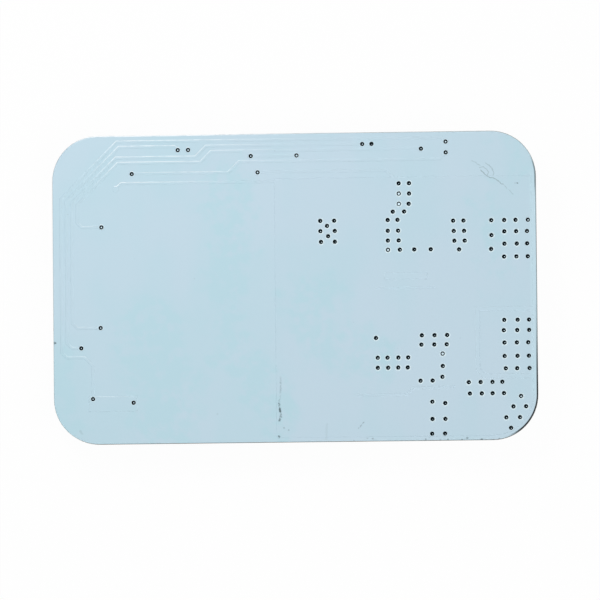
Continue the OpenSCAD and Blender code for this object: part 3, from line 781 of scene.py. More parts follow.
@dataclass(frozen=True)
class WornInk(Ink):
    """The back's ink: washed out, scratched and soiled, with painted light and shade on tracks and rim.
    """

    # bright and dull are the painted highlight and the painted shade on the tracks' walls.
    bright: Colour = tint(246, 252, 255)
    dull: Colour = tint(130, 150, 172)
    bare: Colour = tint(140, 142, 130)
    bare_level: tuple[float, float] = (7.118, 7.1)
    lit_edge: Colour = tint(196, 226, 236)
    # The dark edge colour is painted shade, on the rim and corners that face away from the lamps.
    dark_edge: Colour = tint(24, 32, 34)
    worn_rim: Colour = tint(118, 116, 100)
    rim_level: tuple[float, float] = (7.129, 7.12)
    bend: tuple[float, float] = (38.2, 21.2)
    bend_r: float = 8.8
    edge_shade_inset: tuple[float, float] = (0.33, 0.22)
    soil: Colour = tint(70, 90, 95)
    scratch: Colour = tint(128, 152, 154)

    def paint(self, shader: Shader) -> bpy.types.Material:
        """Builds the nodes of the material.

        Args:
            shader: the material's tree.

        Returns:
            The finished material.
        """
        at = shader.place()
        x, y, _ = shader.parts(at)
        flat = shader.joined(x, y, 0.0)
        colour = self.coloured(shader, at, self.washed(shader, at, flat))
        colour = self.edged(shader, at, colour)
        colour = self.painted_track_light(shader, at, colour)
        torn = shader.shaken(flat, shader.noise(at, 1.3, 2, "Color"), 0.5)
        soil = strongest(SOIL, shader, torn) * shader.noise(at, 3.0, 2).ramp(0.3, 0.6)
        scratch = strongest(SCRATCHES, shader, torn)
        colour = shader.mix(self.soiled(shader, at, soil), colour, self.soil)
        colour = shader.mix(scratch * 0.6, colour, self.scratch)
        relief = self.relief(shader, at) - scratch * 0.6 - soil * 0.4
        return self.coated(shader, colour, relief, self.gloss(shader, at) + scratch * 0.2)

    def washed(self, shader: Shader, at: Value, flat: Value) -> Value:
        """The warmth, less what the washes take, and less towards the left end.

        Args:
            shader: the material's tree.
            at: the point on the piece.
            flat: the point in the plane of the face.

        Returns:
            The warmth that is left.
        """
        x, _, _ = shader.parts(at)
        torn = shader.shaken(flat, shader.noise(at, 0.22, 4, "Color"), 16.0)
        wash = strongest(WASHES, shader, torn) * shader.noise(at, 0.5, 3).ramp(0.3, 0.65)
        return self.warmth(shader, at) - wash - x.ramp(-10.0, -40.0) * 0.2

    def edged(self, shader: Shader, at: Value, colour: Value) -> Value:
        """Adds the bare and worn rim, the lit right edge, and painted shade at the right rim and
        corners.

        Args:
            shader: the material's tree.
            at: the point on the piece.
            colour: the colour so far.

        Returns:
            The colour with its edges.
        """
        x, y, z = shader.parts(at)
        colour = shader.mix(z.ramp(*self.bare_level) * 0.8, colour, self.bare)
        lit = x.ramp(45.5, 46.0) * y.size().ramp(24.0, 20.0)
        colour = shader.mix(lit * 0.4, colour, self.lit_edge)
        rim = z.ramp(*self.rim_level)
        # Painted shade at the right rim and corners.
        colour = shader.mix(self.painted_edge_shade(shader, at, rim), colour, self.dark_edge)
        worn = rim * y.ramp(20.0, 29.0) * x.ramp(-5.0, 20.0)
        return shader.mix(worn * 0.4, colour, self.worn_rim)

    def painted_edge_shade(self, shader: Shader, at: Value, rim: Value) -> Value:
        """How far painted shade darkens the ink, at the right corners and along the right rim.

        Args:
            shader: the material's tree.
            at: the point on the piece.
            rim: where the sheet's rim is.

        Returns:
            A value from 0 to 1.
        """
        x, y, _ = shader.parts(at)
        beyond = [part - middle for part, middle in zip((x, y.size()), self.bend)]
        across, along = (part.clamped(2 * self.bend_r) for part in beyond)
        reach = shader.vector("LENGTH", shader.joined(across, along, 0.0))
        deep = reach.ramp(*(self.bend_r - inset for inset in self.edge_shade_inset))
        lower = (x - y).ramp(46.0, 68.0) * y.ramp(-29.7, -28.0)
        upper = x.ramp(45.6, 46.5) * y.ramp(17.0, 20.0) * y.ramp(26.0, 23.0) * 0.6
        return (deep * lower.greater(upper)).greater(rim * x.ramp(45.6, 46.8) * 0.5)

    def painted_track_light(self, shader: Shader, at: Value, colour: Value) -> Value:
        """Paints highlights on far walls in dashes, most at the upper left, and shade on lamp-facing
        walls.

        Args:
            shader: the material's tree.
            at: the point on the piece.
            colour: the colour so far.

        Returns:
            The colour with its painted track light and shade.
        """
        x, y, _ = shader.parts(at)
        # Painted highlight in dashes, strongest at the upper left, as if lit by the window lamp.
        dash = shader.noise(shader.joined(x, y * 2.0, 0.0), 0.55, 3).ramp(0.38, 0.54) * 0.55 + 0.45
        reach = (x.ramp(6.0, -30.0) * 1.5 + 0.15) * (y.ramp(8.0, 20.0) * 0.6 + 0.4)
        painted_light = shader.attribute("painted_light", "Fac")
        colour = shader.mix((painted_light * dash * reach).clamped(), colour, self.bright)
        # Painted shade where the painted light is below 0, on walls that face the window lamp.
        return shader.mix((painted_light * -1.0).clamped(), colour, self.dull)

    def soiled(self, shader: Shader, at: Value, soil: Value) -> Value:
        """The dirt of the strokes, with grime along the near edge and faint specks.

        Args:
            shader: the material's tree.
            at: the point on the piece.
            soil: the cover of the strokes of dirt.

        Returns:
            The cover of all the dirt.
        """
        x, y, _ = shader.parts(at)
        grime = (y * -1.0).ramp(29.2, 29.7) * shader.cells(at, 0.9).ramp(0.3, 0.12) * x.ramp(5.0, 12.0)
        specks = shader.cells(at, 0.28).ramp(0.045, 0.02) * shader.noise(at, 0.15, 1).ramp(0.5, 0.62)
        return soil + grime * 0.6 + specks * 0.15


@dataclass(frozen=True)
class Metal(Finish):
    """Bare or plated metal with a fine grain and darker, rougher patches."""

    bright: Colour = tint(214, 216, 219)
    dull: Colour = tint(150, 152, 156)
    roughness: float = 0.3
    grain: float = 9.0
    depth: float = 0.004
    stretch: tuple[float, float, float] = (1.0, 1.0, 1.0)

    def paint(self, shader: Shader) -> bpy.types.Material:
        """Builds the nodes of the material.

        Args:
            shader: the material's tree.

        Returns:
            The finished material.
        """
        at = shader.vector("MULTIPLY", shader.place(), self.stretch)
        patches = shader.noise(at, self.grain * 0.2, 3).ramp(0.4, 0.7)
        grain = shader.noise(at, self.grain, 4)
        colour = shader.mix(patches * 0.7 + grain * 0.2, self.bright, self.dull)
        rough = self.roughness + 0.15 * patches + 0.1 * grain
        body = shader.principled(
            Base_Color=colour, Metallic=1.0, Roughness=rough, Normal=shader.bump(grain, self.depth)
        )
        return shader.surface(body)


@dataclass(frozen=True)
class Moulded(Finish):
    """A moulded or fired body: fine spark-eroded texture with faint mottling."""

    base: Colour = tint(38, 38, 40)
    mottle: Colour = tint(58, 58, 60)
    roughness: float = 0.5
    texture: float = 14.0
    depth: float = 0.01
    glow: float = 0.0
    specular: float = 0.5

    def paint(self, shader: Shader) -> bpy.types.Material:
        """Builds the nodes of the material.

        Args:
            shader: the material's tree.

        Returns:
            The finished material.
        """
        at = shader.place()
        texture = shader.noise(at, self.texture, 4)
        mottle = shader.noise(at, self.texture * 0.12, 3).ramp(0.35, 0.75)
        colour = shader.mix(mottle * 0.6 + texture * 0.3, self.base, self.mottle)
        body = shader.principled(
            Base_Color=colour,
            Roughness=self.roughness + 0.12 * mottle,
            Normal=shader.bump(texture, self.depth),
            Specular_IOR_Level=self.specular,
            Subsurface_Weight=self.glow,
            Subsurface_Scale=0.6 * MM,
        )
        return shader.surface(body)


@dataclass(frozen=True)
class GlassEpoxy(Finish):
    """The board's routed edge: glass cloth in resin, burnt in patches, with painted shade at its right
    end.
    """

    resin: Colour = tint(70, 74, 56)
    glass: Colour = tint(112, 114, 90)
    burnt_and_shaded: Colour = tint(27, 31, 28)
    layers: float = 5.2
    shaded_end: tuple[float, float] = (26.0, 36.0)

    def paint(self, shader: Shader) -> bpy.types.Material:
        """Builds the nodes of the material.

        Args:
            shader: the material's tree.

        Returns:
            The finished material.
        """
        at = shader.place()
        x, y, z = shader.parts(at)
        ripple = shader.noise(at, 1.2, 2) * 0.5
        level = z * self.layers + ripple
        layer = shader.node("ShaderNodeMath", {"operation": "PINGPONG"}, {0: level, 1: 1.0})
        strands = shader.noise(shader.joined(x, y, z * 4.0), 5.0, 3)
        burn = shader.noise(shader.joined(x, y, z * 0.3), 0.7, 3).ramp(0.35, 0.6)
        colour = shader.mix(layer.ramp(0.35, 0.8) * strands, self.resin, self.glass)
        # The edge darkens in random burnt patches, and with painted shade towards its right end.
        dark_edge = (burn * 0.6 + x.ramp(*self.shaded_end) * 0.6).clamped()
        body = shader.principled(
            Base_Color=shader.mix(dark_edge, colour, self.burnt_and_shaded),
            Roughness=0.7,
            Specular_IOR_Level=0.0,
            Normal=shader.bump(layer * 0.6 + strands, 0.02),
        )
        return shader.surface(body)


@dataclass(frozen=True)
class HoleFill(Finish):
    """Solder in a hole: dark with flux and painted shade, and a glowing painted glint that varies."""

    painted_gleam: Colour = tint(214, 236, 246)
    # Near-black solder: flux, with painted shade for the depth of the hole.
    flux_and_shade: Colour = tint(4, 20, 26)
    sharpness: float = 18.0
    raggedness: float = 0.06
    painted_glow: float = 0.42

    def paint(self, shader: Shader) -> bpy.types.Material:
        """Builds the nodes of the material.

        Args:
            shader: the material's tree.

        Returns:
            The finished material.
        """
        spot = shader.attribute("spot", "Vector")
        size = shader.attribute("painted_gleam", "Fac")
        shift = shader.attribute("shift", "Vector")
        gap = shader.vector("DISTANCE", spot, shift)
        ragged = gap + (shader.noise(shader.place(), 9.0, 2) - 0.5) * self.raggedness
        # The painted glint: a highlight painted into the base colour and made to glow by emission.
        bare = ((size - ragged) * self.sharpness + 0.5).clamped()
        body = shader.principled(
            Base_Color=shader.mix(bare, self.flux_and_shade, self.painted_gleam),
            Roughness=0.5,
            Specular_IOR_Level=0.06,
            Emission_Color=shader.mix(bare, BLACK, self.painted_gleam),
            Emission_Strength=self.painted_glow,
        )
        return shader.surface(body)


@dataclass(frozen=True)
class Floor(Finish):
    """A plain white table top. It shows white, keeps a soft shadow, and is clear from below."""

    white: float = 1.005
    shade: float = 0.04
    reach: float = 0.35
    in_shadow: Colour = grey(0.75)
    unseen: Colour = grey(0.8)

    def paint(self, shader: Shader) -> bpy.types.Material:
        """Builds the nodes of the material.

        Args:
            shader: the material's tree.

        Returns:
            The finished material.
        """
        seen = shader.seen()
        at = shader.node("ShaderNodeTexCoord", output="Object")
        near = shader.vector("LENGTH", at).ramp(self.reach, self.reach * 0.3)
        lit = shader.node("ShaderNodeEmission", inputs={"Color": WHITE, "Strength": self.white})
        shadowed = shader.node("ShaderNodeBsdfDiffuse", inputs={"Color": self.in_shadow})
        shown = shader.node("ShaderNodeMixShader", inputs={0: near * self.shade, 1: lit, 2: shadowed})
        plain = shader.node("ShaderNodeBsdfDiffuse", inputs={"Color": self.unseen})
        top = shader.node("ShaderNodeMixShader", inputs={0: seen, 1: plain, 2: shown})
        below = shader.node("ShaderNodeNewGeometry", output="Backfacing") * seen
        clear = shader.node("ShaderNodeBsdfTransparent")
        return shader.surface(shader.node("ShaderNodeMixShader", inputs={0: below, 1: top, 2: clear}))


BACK_INK = WornInk("back ink", "solder_mask")
FRONT_INK = Ink("front ink", "solder_mask")
EDGE = GlassEpoxy("routed glass epoxy", "laminate")
FOIL = Metal("etched foil", "copper", tint(205, 140, 100), tint(150, 92, 62), 0.35)
TINNED_FOIL = Metal("tinned foil", "copper", tint(208, 209, 210), tint(160, 161, 163), 0.34)
# Near-black plating: tarnish, and painted shade for the holes' recess.
TARNISH_AND_SHADE = Moulded(
    "tarnished and shaded plating",
    "hole_plating",
    tint(2, 12, 17),
    tint(8, 22, 28),
    roughness=0.6,
    texture=9.0,
    depth=0.004,
    specular=0.06,
)
FILL = HoleFill("solder in a hole", "solder")
SOLDER = Metal("joint solder", "solder", tint(216, 218, 221), tint(176, 178, 180), 0.2, 4.0, 0.006)
TINNING = Metal("tinned pad", "solder", tint(218, 220, 222), tint(184, 186, 188), 0.22, 1.4, 0.02)
LEAD = Metal("tinned lead", "tinned_lead", tint(205, 207, 209), tint(150, 151, 153), 0.34)
PIN = Metal("header pin", "header_pin", tint(222, 219, 206), tint(176, 170, 152), 0.26)
CAP = Metal("chip end cap", "end_cap_tin", tint(206, 208, 210), tint(160, 161, 163), 0.38)
ALLOY = Metal(
    "shunt alloy",
    "shunt_alloy",
    tint(196, 193, 189),
    tint(138, 134, 130),
    roughness=0.33,
    grain=6.0,
    stretch=(0.2, 3.0, 3.0),
)
EPOXY = Moulded("moulded epoxy", "case_epoxy")
COAT = Moulded("shunt coat", "shunt_coat", tint(30, 38, 36), tint(44, 54, 50), 0.45)
GLAZE = Moulded(
    "resistor glaze",
    "resistor_glaze",
    tint(24, 24, 27),
    tint(40, 40, 44),
    roughness=0.25,
    texture=8.0,
    depth=0.004,
)
CERAMIC = Moulded("fired ceramic", "capacitor_ceramic", tint(168, 124, 88), tint(138, 98, 66), 0.55)
NYLON = Moulded(
    "header nylon",
    "header_nylon",
    tint(238, 234, 220),
    tint(226, 219, 198),
    roughness=0.42,
    texture=6.0,
    depth=0.006,
    glow=0.15,
)
TABLE_TOP = Floor("table top", "")


# ---------- the ink sheet ----------


class Wall(Enum):
    """What a wall of the ink is: a step over copper, a hole's lip or the sheet's rim."""

    STEP = "step"
    LIP = "lip"
    RIM = "rim"

    def light(self, way: Vector) -> tuple[float, float]:
        """How the ink shows on a wall that faces one way.

        Args:
            way: the unit direction that the wall faces.

        Returns:
            Its share of thinned ink and painted fill light, and its painted highlight, below 0 for
            painted shade.
        """
        lit = (way.y - way.x) / math.sqrt(2)
        # A lip shows thinned ink, paler still on its lit side as a painted highlight.
        if self is Wall.LIP:
            return 0.7 + 0.3 * lit, 0.0
        # Steps and rim: painted fill light away from the lamp, painted shade towards it, highlight on
        # far walls.
        across = 0.2 * lit * abs(way.x)
        painted_gleam = max(way.y, 0.0) ** 10
        return max(-across, 0.0), painted_gleam - max(across, 0.0)


@dataclass(frozen=True)
class Ring:
    """A line of vertices by a contour: how far out, how deep, how much thinned ink and painted light.
    """

    out: float
    drop: float
    thin: float


@dataclass(frozen=True)
class Contour:
    """A closed line on the ink, with the raised side on its left, and the floor of its wall."""

    line: list[Vector]
    floor: float
    bluntest: float = 0.8

    def mitres(self) -> list[Vector]:
        """The way outwards, to the line's right, at each of its points, longer at corners.

        Returns:
            A vector for each point.
        """
        ways = []
        for before, here, after in corners(self.line):
            first = (here - before).normalized()
            second = (after - here).normalized()
            normal = Vector((first.y + second.y, -first.x - second.x))
            ways.append(normal * (2 / max(normal.length_squared, self.bluntest)))
        return ways


@dataclass
class InkSheet:
    """The back's solder mask, which slopes over the copper and thins round each opening, with painted
    light on its walls.

    Attributes:
        holes: the middle of each plated hole, in metres.
        over_laminate: the ink's thickness where no copper is under it.
        arc_step: the angle between the points of an arc, in degrees.
        corner_r: the radius of the board's corners.
        corner_reach: how far from a corner's centre its arc may be looked for.
        hole_reach: how near to a hole's middle an edge of its opening is.
        least_arc_r: the smallest radius that an arc may have.
        shortest: the shortest edge that is kept.
        straight: the sine of the largest turn that counts as none.
        crowd_step: the most between the points that tell how crowded a place is.
        halo_room: the free radius that a halo needs.
        far_facing: the least share of a wall's direction that faces the far side.
        free_gap: how far a step has to be from the holes to have a wide top.
        free_reach: how many times wider that top is.
        slope, halo, lip, rim: the sections of a step, an opening's halo and lip, and the sheet's rim.
    """

    holes: list[Vector]
    over_laminate: float = 0.04
    arc_step: float = 10.0
    corner_r: float = 8.8
    corner_reach: float = 5.0
    hole_reach: float = 0.7
    least_arc_r: float = 0.3
    shortest: float = 0.03
    straight: float = 0.001
    crowd_step: float = 0.1
    halo_room: float = 0.97
    far_facing: float = 0.9
    free_gap: float = 0.8
    free_reach: float = 3.0
    slope: tuple[Ring, ...] = (
        Ring(-0.06, 0, 0),
        Ring(-0.035, 0.002, 0.6),
        Ring(-0.012, 0.009, 1),
        Ring(0.008, 0.02, 1),
        Ring(0.025, 0.034, 1),
        Ring(0.043, 0.05, 0.6),
        Ring(0.062, 0.06, 0),
    )
    halo: tuple[Ring, ...] = (Ring(-0.3, 0, 0), Ring(-0.18, 0, 0.5), Ring(-0.08, 0, 0.85))
    lip: tuple[Ring, ...] = (
        Ring(-0.074, 0, 0),
        Ring(-0.05, 0.001, 0.8),
        Ring(-0.025, 0.004, 1),
        Ring(-0.008, 0.012, 1),
        Ring(0.004, 0.03, 0.4),
        Ring(0.004, 0.1, 0),
    )
    rim: tuple[Ring, ...] = (
        Ring(-0.26, 0, 0),
        Ring(-0.16, 0.002, 0.5),
        Ring(-0.09, 0.008, 0.8),
        Ring(-0.04, 0.02, 1),
        Ring(0.0, 0.04, 1),
    )

    def __post_init__(self) -> None:
        """Reads the levels of the ink, and sorts the holes by place."""
        self.low, self.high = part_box("back_solder_mask")
        self.bare = self.low.z + self.over_laminate * MM
        self.near = seen_from_above(self.holes)
        self.bm = bmesh.new()
        self.thin = self.bm.verts.layers.float.new("thin")
        self.painted_light = self.bm.verts.layers.float.new("painted_light")

    def build(self) -> None:
        """Lays the ink over the whole back."""
        flats = welded("back_solder_mask")
        raised = list(self.contours(flats, self.high.z))
        edge = [c for c in self.contours(flats, self.bare) if c.floor < self.bare - FLAT]
        flats.free()
        crowd = self.crowd(raised)
        tops, feet, under = [], [], []
        for contour in raised:
            if abs(contour.floor - self.bare) < FLAT:
                lines = self.band(contour, Wall.STEP, self.slope, self.high.z)
                feet.append(lines[-1][::-1])
            else:
                rings = self.halo + self.lip[1:] if self.alone(contour, crowd) else self.lip
                lines = self.band(contour, Wall.LIP, rings, self.high.z)
                under.append(lines[-1])
            tops.append(lines[0])
        for contour in edge:
            lines = self.band(contour, Wall.RIM, self.rim, self.bare)
            feet.append(lines[0])
            under.append(lines[-1])
        self.fill(tops, True)
        self.fill(feet, True)
        self.fill(under, False)
        piece = placed("back_ink", as_mesh("back_ink", self.bm))
        stands_for(piece, BACK_INK, "back_solder_mask")

    def crowd(self, contours: list[Contour]) -> KDTree:
        """Points along every contour, a small step apart.

        Args:
            contours: the contours to follow.

        Returns:
            A search tree of the points.
        """
        places = []
        for contour in contours:
            for here, after in neighbours(contour.line):
                count = math.ceil((after - here).length / (self.crowd_step * MM))
                places += [here.lerp(after, k / count) for k in range(count)]
        return seen_from_above(places)

    def alone(self, contour: Contour, crowd: KDTree) -> bool:
        """Tells whether an opening has room for its halo.

        Args:
            contour: the opening's line.
            crowd: the points of every contour.

        Returns:
            True if no other contour's points are near.
        """
        own = len(contour.line)
        centre = sum(contour.line, Vector((0, 0))) / own
        return len(crowd.find_range((*centre, 0), self.halo_room * MM)) == own

    def contours(self, bm: bmesh.types.BMesh, level: float) -> Iterator[Contour]:
        """Reads the boundaries of the flat faces at a level.

        Args:
            bm: the welded CAD mesh.
            level: the height of the flat faces.

        Yields:
            Each boundary, with its arcs made smooth.
        """
        tops = [face for face in bm.faces if face.normal.z > UPWARDS]
        flat = [face for face in tops if abs(face.calc_center_median().z - level) < FLAT]
        inside = set(flat)
        follow = {}
        for face in flat:
            for loop in face.loops:
                wall = loop.link_loop_radial_next.face
                if wall not in inside:
                    floor = min(v.co.z for v in wall.verts)
                    follow[loop.vert] = (loop.link_loop_next.vert, floor)
        while follow:
            start, (vert, floor) = follow.popitem()
            line = [start.co.xy]
            while vert is not start:
                line.append(vert.co.xy)
                vert, other = follow.pop(vert)
                floor = min(floor, other)
            yield Contour(self.smooth(line), floor)

    def smooth(self, line: list[Vector]) -> list[Vector]:
        """Drops the points within straight runs and fills the arcs.

        Args:
            line: the line as the CAD mesh has it.

        Returns:
            The line with smooth arcs.
        """
        kept = []
        line = [a for a, b in neighbours(line) if (a - b).length > self.shortest * MM]
        for before, here, after in corners(line):
            if abs((here - before).normalized().cross((after - here).normalized())) > self.straight:
                kept.append(here)
        rounded = []
        for here, after in neighbours(kept):
            rounded.append(here)
            centre = self.centre_of(here, after)
            if centre is None:
                continue
            first, last = here - centre, after - centre
            turn = first.angle_signed(last)
            count = math.ceil(abs(math.degrees(turn)) / self.arc_step - 0.01)
            for k in range(1, count):
                rounded.append(centre + Matrix.Rotation(-turn * k / count, 2) @ first)
        return rounded

    def centre_of(self, here: Vector, after: Vector) -> Vector | None:
        """The middle of the arc that an edge is part of, round a hole or at the board's corner.

        Args:
            here: the edge's start.
            after: its end.

        Returns:
            The middle, or None for a straight edge.
        """
        middle = (here + after) / 2
        hole, _, gap = self.near.find((*middle, 0))
        candidates = []
        if gap < self.hole_reach * MM:
            candidates.append(hole.xy)
        inset = self.high.xy - Vector((self.corner_r, self.corner_r)) * MM
        corner = Vector((math.copysign(inset.x, middle.x), math.copysign(inset.y, middle.y)))
        if (middle - corner).dot(corner) > 0 and (middle - corner).length > self.corner_reach * MM:
            candidates.append(corner)
        for centre in candidates:
            radius = (here - centre).length
            if radius > self.least_arc_r * MM and abs(radius - (after - centre).length) < SAME_RADIUS:
                return centre
        return None

    def band(self, contour: Contour, wall: Wall, rings: tuple[Ring, ...], level: float) -> list[Line]:
        """Builds the sloping strip along one contour.

        Args:
            contour: the line that the strip follows.
            wall: what kind of wall the strip is.
            rings: the strip's section.
            level: the height from which the section drops.

        Returns:
            The strip's lines of vertices, from its top to its foot.
        """
        lines = [[] for _ in rings]
        for place, way in zip(contour.line, contour.mitres()):
            thin, painted_light = wall.light(way.normalized())
            gap = self.near.find((*place, 0))[2]
            free = wall is Wall.STEP and way.y > self.far_facing and gap > self.free_gap * MM
            for line, ring in zip(lines, rings):
                out = ring.out * (self.free_reach if free and ring.out < 0 else 1)
                vert = self.bm.verts.new((*(place + way * out * MM), level - ring.drop * MM))
                # Each vertex takes its ring's share of the thinned ink and of the painted light and
                # shade.
                vert[self.thin] = ring.thin * thin
                vert[self.painted_light] = ring.thin * painted_light
                line.append(vert)
        for upper, lower in zip(lines, lines[1:]):
            strip(self.bm, upper, lower)
        return lines

    def fill(self, lines: list[Line], up: bool) -> None:
        """Fills the flat between lines of vertices.

        Args:
            lines: the flat's borders, with the flat on their left from above.
            up: True if the flat faces up.
        """
        verts = [vert for line in lines for vert in line]
        number = {vert: i for i, vert in enumerate(verts)}
        border = {(number[a], number[b]) for line in lines for a, b in neighbours(line)}
        spots = [vert.co.xy / MM for vert in verts]
        places, _, shapes, sources, *_ = delaunay_2d_cdt(spots, list(border), [], TRIANGLES, SAME_SPOT)
        for place, source in zip(places, sources):
            if not source:
                log.warning("lines cross at %.3f, %.3f", *place)
        origin = [min(source, default=0) for source in sources]
        faces = [[origin[k] for k in shape] for shape in shapes]
        sides = {side: i for i, face in enumerate(faces) for side in neighbours(face)}
        edge = [sides[side] for side in border if side in sides]
        inside = set(edge)
        while edge:
            for a, b in neighbours(faces[edge.pop()]):
                other = sides.get((b, a))
                if other is not None and other not in inside and (a, b) not in border:
                    inside.add(other)
                    edge.append(other)
        for i in inside:
            face = [verts[k] for k in faces[i]]
            self.bm.faces.new(face if up else face[::-1])
        log.info("flat of %d faces between %d lines", len(inside), len(lines))


# ---------- plated holes ----------


class HoleKind(Enum):
    """How a plated hole looks from above: its solder's size, its painted glint and the glint's shift.
    """

    SIGNAL = (1.0, 0.105, 0.0)
    FAINT = (1.0, 0.07, 0.03)
    POWER = (1.0, 0.06, 0.09)
    FULL = (1.35, 0.17, 0.0)
    DULL = (1.2, 0.1, 0.05)

    def __init__(self, size: float, painted_gleam: float, shift: float) -> None:
        """Keeps the kind's three numbers by name.

        Args:
            size: the scale of its solder.
            painted_gleam: the radius of the painted glint.
            shift: how far the gleam is from the middle.
        """
        self.size = size
        self.painted_gleam = painted_gleam
        self.shift = shift


@dataclass
class PlatedHoles:
    """The rings, dark with tarnish and painted shade, and the solder of the plated holes.

    Attributes:
        ring_r: the outer radius of a ring.
        bore_r: the radius of the plated bore.
        length: how far down the bore is plated and filled.
        plating: the thickness of the plating.
        foil: the thickness of the ring.
        mouth: how far out of the bore, and how deep, each line of its rounded mouth is.
        sunk: how far below the ring the solder's edge is.
        dish: how far the solder's middle is below its edge.
        dish_rings: the lines of points from the dish's middle to its edge.
        steps: the faces round a hole.
        pour_x: the left edge of the power pour.
        same_place: how near to a listed place a hole's middle is.
        listed: the holes that don't look as the others on their side of the pour's edge.
    """

    ring_r: float = 0.5
    bore_r: float = 0.25
    length: float = 0.5
    plating: float = 0.05
    foil: float = 0.07
    mouth: tuple[tuple[float, float], ...] = ((0.1, 0.0), (0.055, 0.008), (0.02, 0.03), (0.0, 0.075))
    sunk: float = 0.13
    dish: float = 0.06
    dish_rings: int = 4
    steps: int = 28
    pour_x: float = -3.7
    same_place: float = 0.6
    listed: tuple[tuple[HoleKind, tuple[tuple[float, float], ...]], ...] = (
        (HoleKind.FULL, ((20.4, 18.0), (20.4, 16.0), (18.2, 7.0), (28.5, -13.2), (0.6, 25.7))),
        (HoleKind.DULL, ((45.3, 12.7), (43.7, -21.6))),
        (HoleKind.FAINT, ((24.8, 26.7), (-31.5, -22.0), (13.4, 27.75))),
        (HoleKind.SIGNAL, ((29.6, 28.0), (29.6, 25.9))),
    )

    def centres(self) -> list[Vector]:
        """The middle of each plated hole, at the level of the back copper."""
        return [Vector(((a.x + b.x) / 2, (a.y + b.y) / 2, b.z)) for a, b in islands("plated_holes")]

    def kind_of(self, centre: Vector) -> HoleKind:
        """What a hole looks like: as listed, or else by its side of the pour's left edge.

        Args:
            centre: the hole's middle.

        Returns:
            The kind of the hole.
        """
        here = centre.xy / MM
        for kind, places in self.listed:
            if any((here - Vector(place)).length < self.same_place for place in places):
                return kind
        return HoleKind.SIGNAL if here.x < self.pour_x else HoleKind.POWER

    def build(self) -> None:
        """Makes the rings and the solder, one mesh each."""
        chance = Random(5)
        centres = self.centres()
        seeds = bmesh.new()
        size = seeds.verts.layers.float.new("size")
        painted_gleam = seeds.verts.layers.float.new("painted_gleam")
        shift = seeds.verts.layers.float_vector.new("shift")
        for centre in centres:
            kind = self.kind_of(centre)
            vert = seeds.verts.new(centre)
            vert[size] = kind.size
            vert[painted_gleam] = kind.painted_gleam * chance.uniform(0.7, 1.25)
            way = math.radians(chance.uniform(-75, -15))
            vert[shift] = (kind.shift * math.cos(way), kind.shift * math.sin(way), 0)
        points = as_mesh("hole_points", seeds)
        rings = self.tree("hole rings", TARNISH_AND_SHADE).run("hole_rings", points.copy(), Pattern=self.ring())
        stands_for(rings, TARNISH_AND_SHADE, "plated_holes")
        fills = self.tree("hole solder", FILL, "size").run("hole_fills", points, Pattern=self.solder())
        stands_for(fills, FILL, "hole_solder")

    def tree(self, name: str, finish: Finish, scale: str = "") -> Grower:
        """A tree that puts a copy of its Pattern at each point.

        Args:
            name: the tree's name.
            finish: what its copies are dressed in.
            scale: the attribute that scales each copy, if any.

        Returns:
            The tree, ready to run.
        """
        grower = Grower(name)
        source = {"Object": grower.input("Pattern", "Object")}
        pattern = grower.node("GeometryNodeObjectInfo", inputs=source, output="Geometry")
        inputs = {"Points": grower.points, "Instance": pattern}
        if scale:
            inputs["Scale"] = grower.named(scale)
        grower.end(grower.node("GeometryNodeInstanceOnPoints", inputs=inputs), finish.material())
        return grower

    def ring(self) -> bpy.types.Object:
        """One plated ring with a rounded mouth, as a pattern.

        Returns:
            The pattern's object, outside the scene.
        """
        outer = self.bore_r + self.plating
        profile = [(self.ring_r, 0)]
        profile += [(self.bore_r + out, -drop) for out, drop in self.mouth]
        profile += [(self.bore_r, -self.length), (outer, -self.length)]
        profile += [(outer, -self.foil), (self.ring_r, -self.foil)]
        return self.pattern("ring_pattern", lathe(profile, self.steps))

    def solder(self) -> bpy.types.Object:
        """One plug of solder with a dished top, as a pattern.

        Returns:
            The pattern's object, outside the scene.
        """
        shares = [k / self.dish_rings for k in range(self.dish_rings + 1)]
        profile = [(self.bore_r * k, -self.sunk - self.dish * (1 - k**2)) for k in shares]
        profile += [(self.bore_r, -self.length), (0, -self.length)]
        return self.pattern("solder_pattern", lathe(profile, self.steps))

    def pattern(self, name: str, bm: bmesh.types.BMesh) -> bpy.types.Object:
        """Keeps a shape as an instance source, with each point's own place in millimetres.

        Args:
            name: the pattern's name.
            bm: its shape.

        Returns:
            The pattern's object, outside the scene.
        """
        spot = bm.verts.layers.float_vector.new("spot")
        for vert in bm.verts:
            vert[spot] = (vert.co.x / MM, vert.co.y / MM, 0)
        return bpy.data.objects.new(name, as_mesh(name, bm))


# ---------- the parts on the front ----------


@dataclass(frozen=True)
class PartGroup:
    """CAD nodes that share a finish and a rounding of their edges, of one name or numbered."""

    start: str
    finish: Finish
    radius: float
    end: str = ""

    def build(self) -> None:
        """Rounds and dresses each node whose name is the start, a number or nothing, and the end."""
        for node in sorted(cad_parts):
            if re.fullmatch(rf"{self.start}\d*{self.end}", node):
                soften(node, self.finish, self.radius)


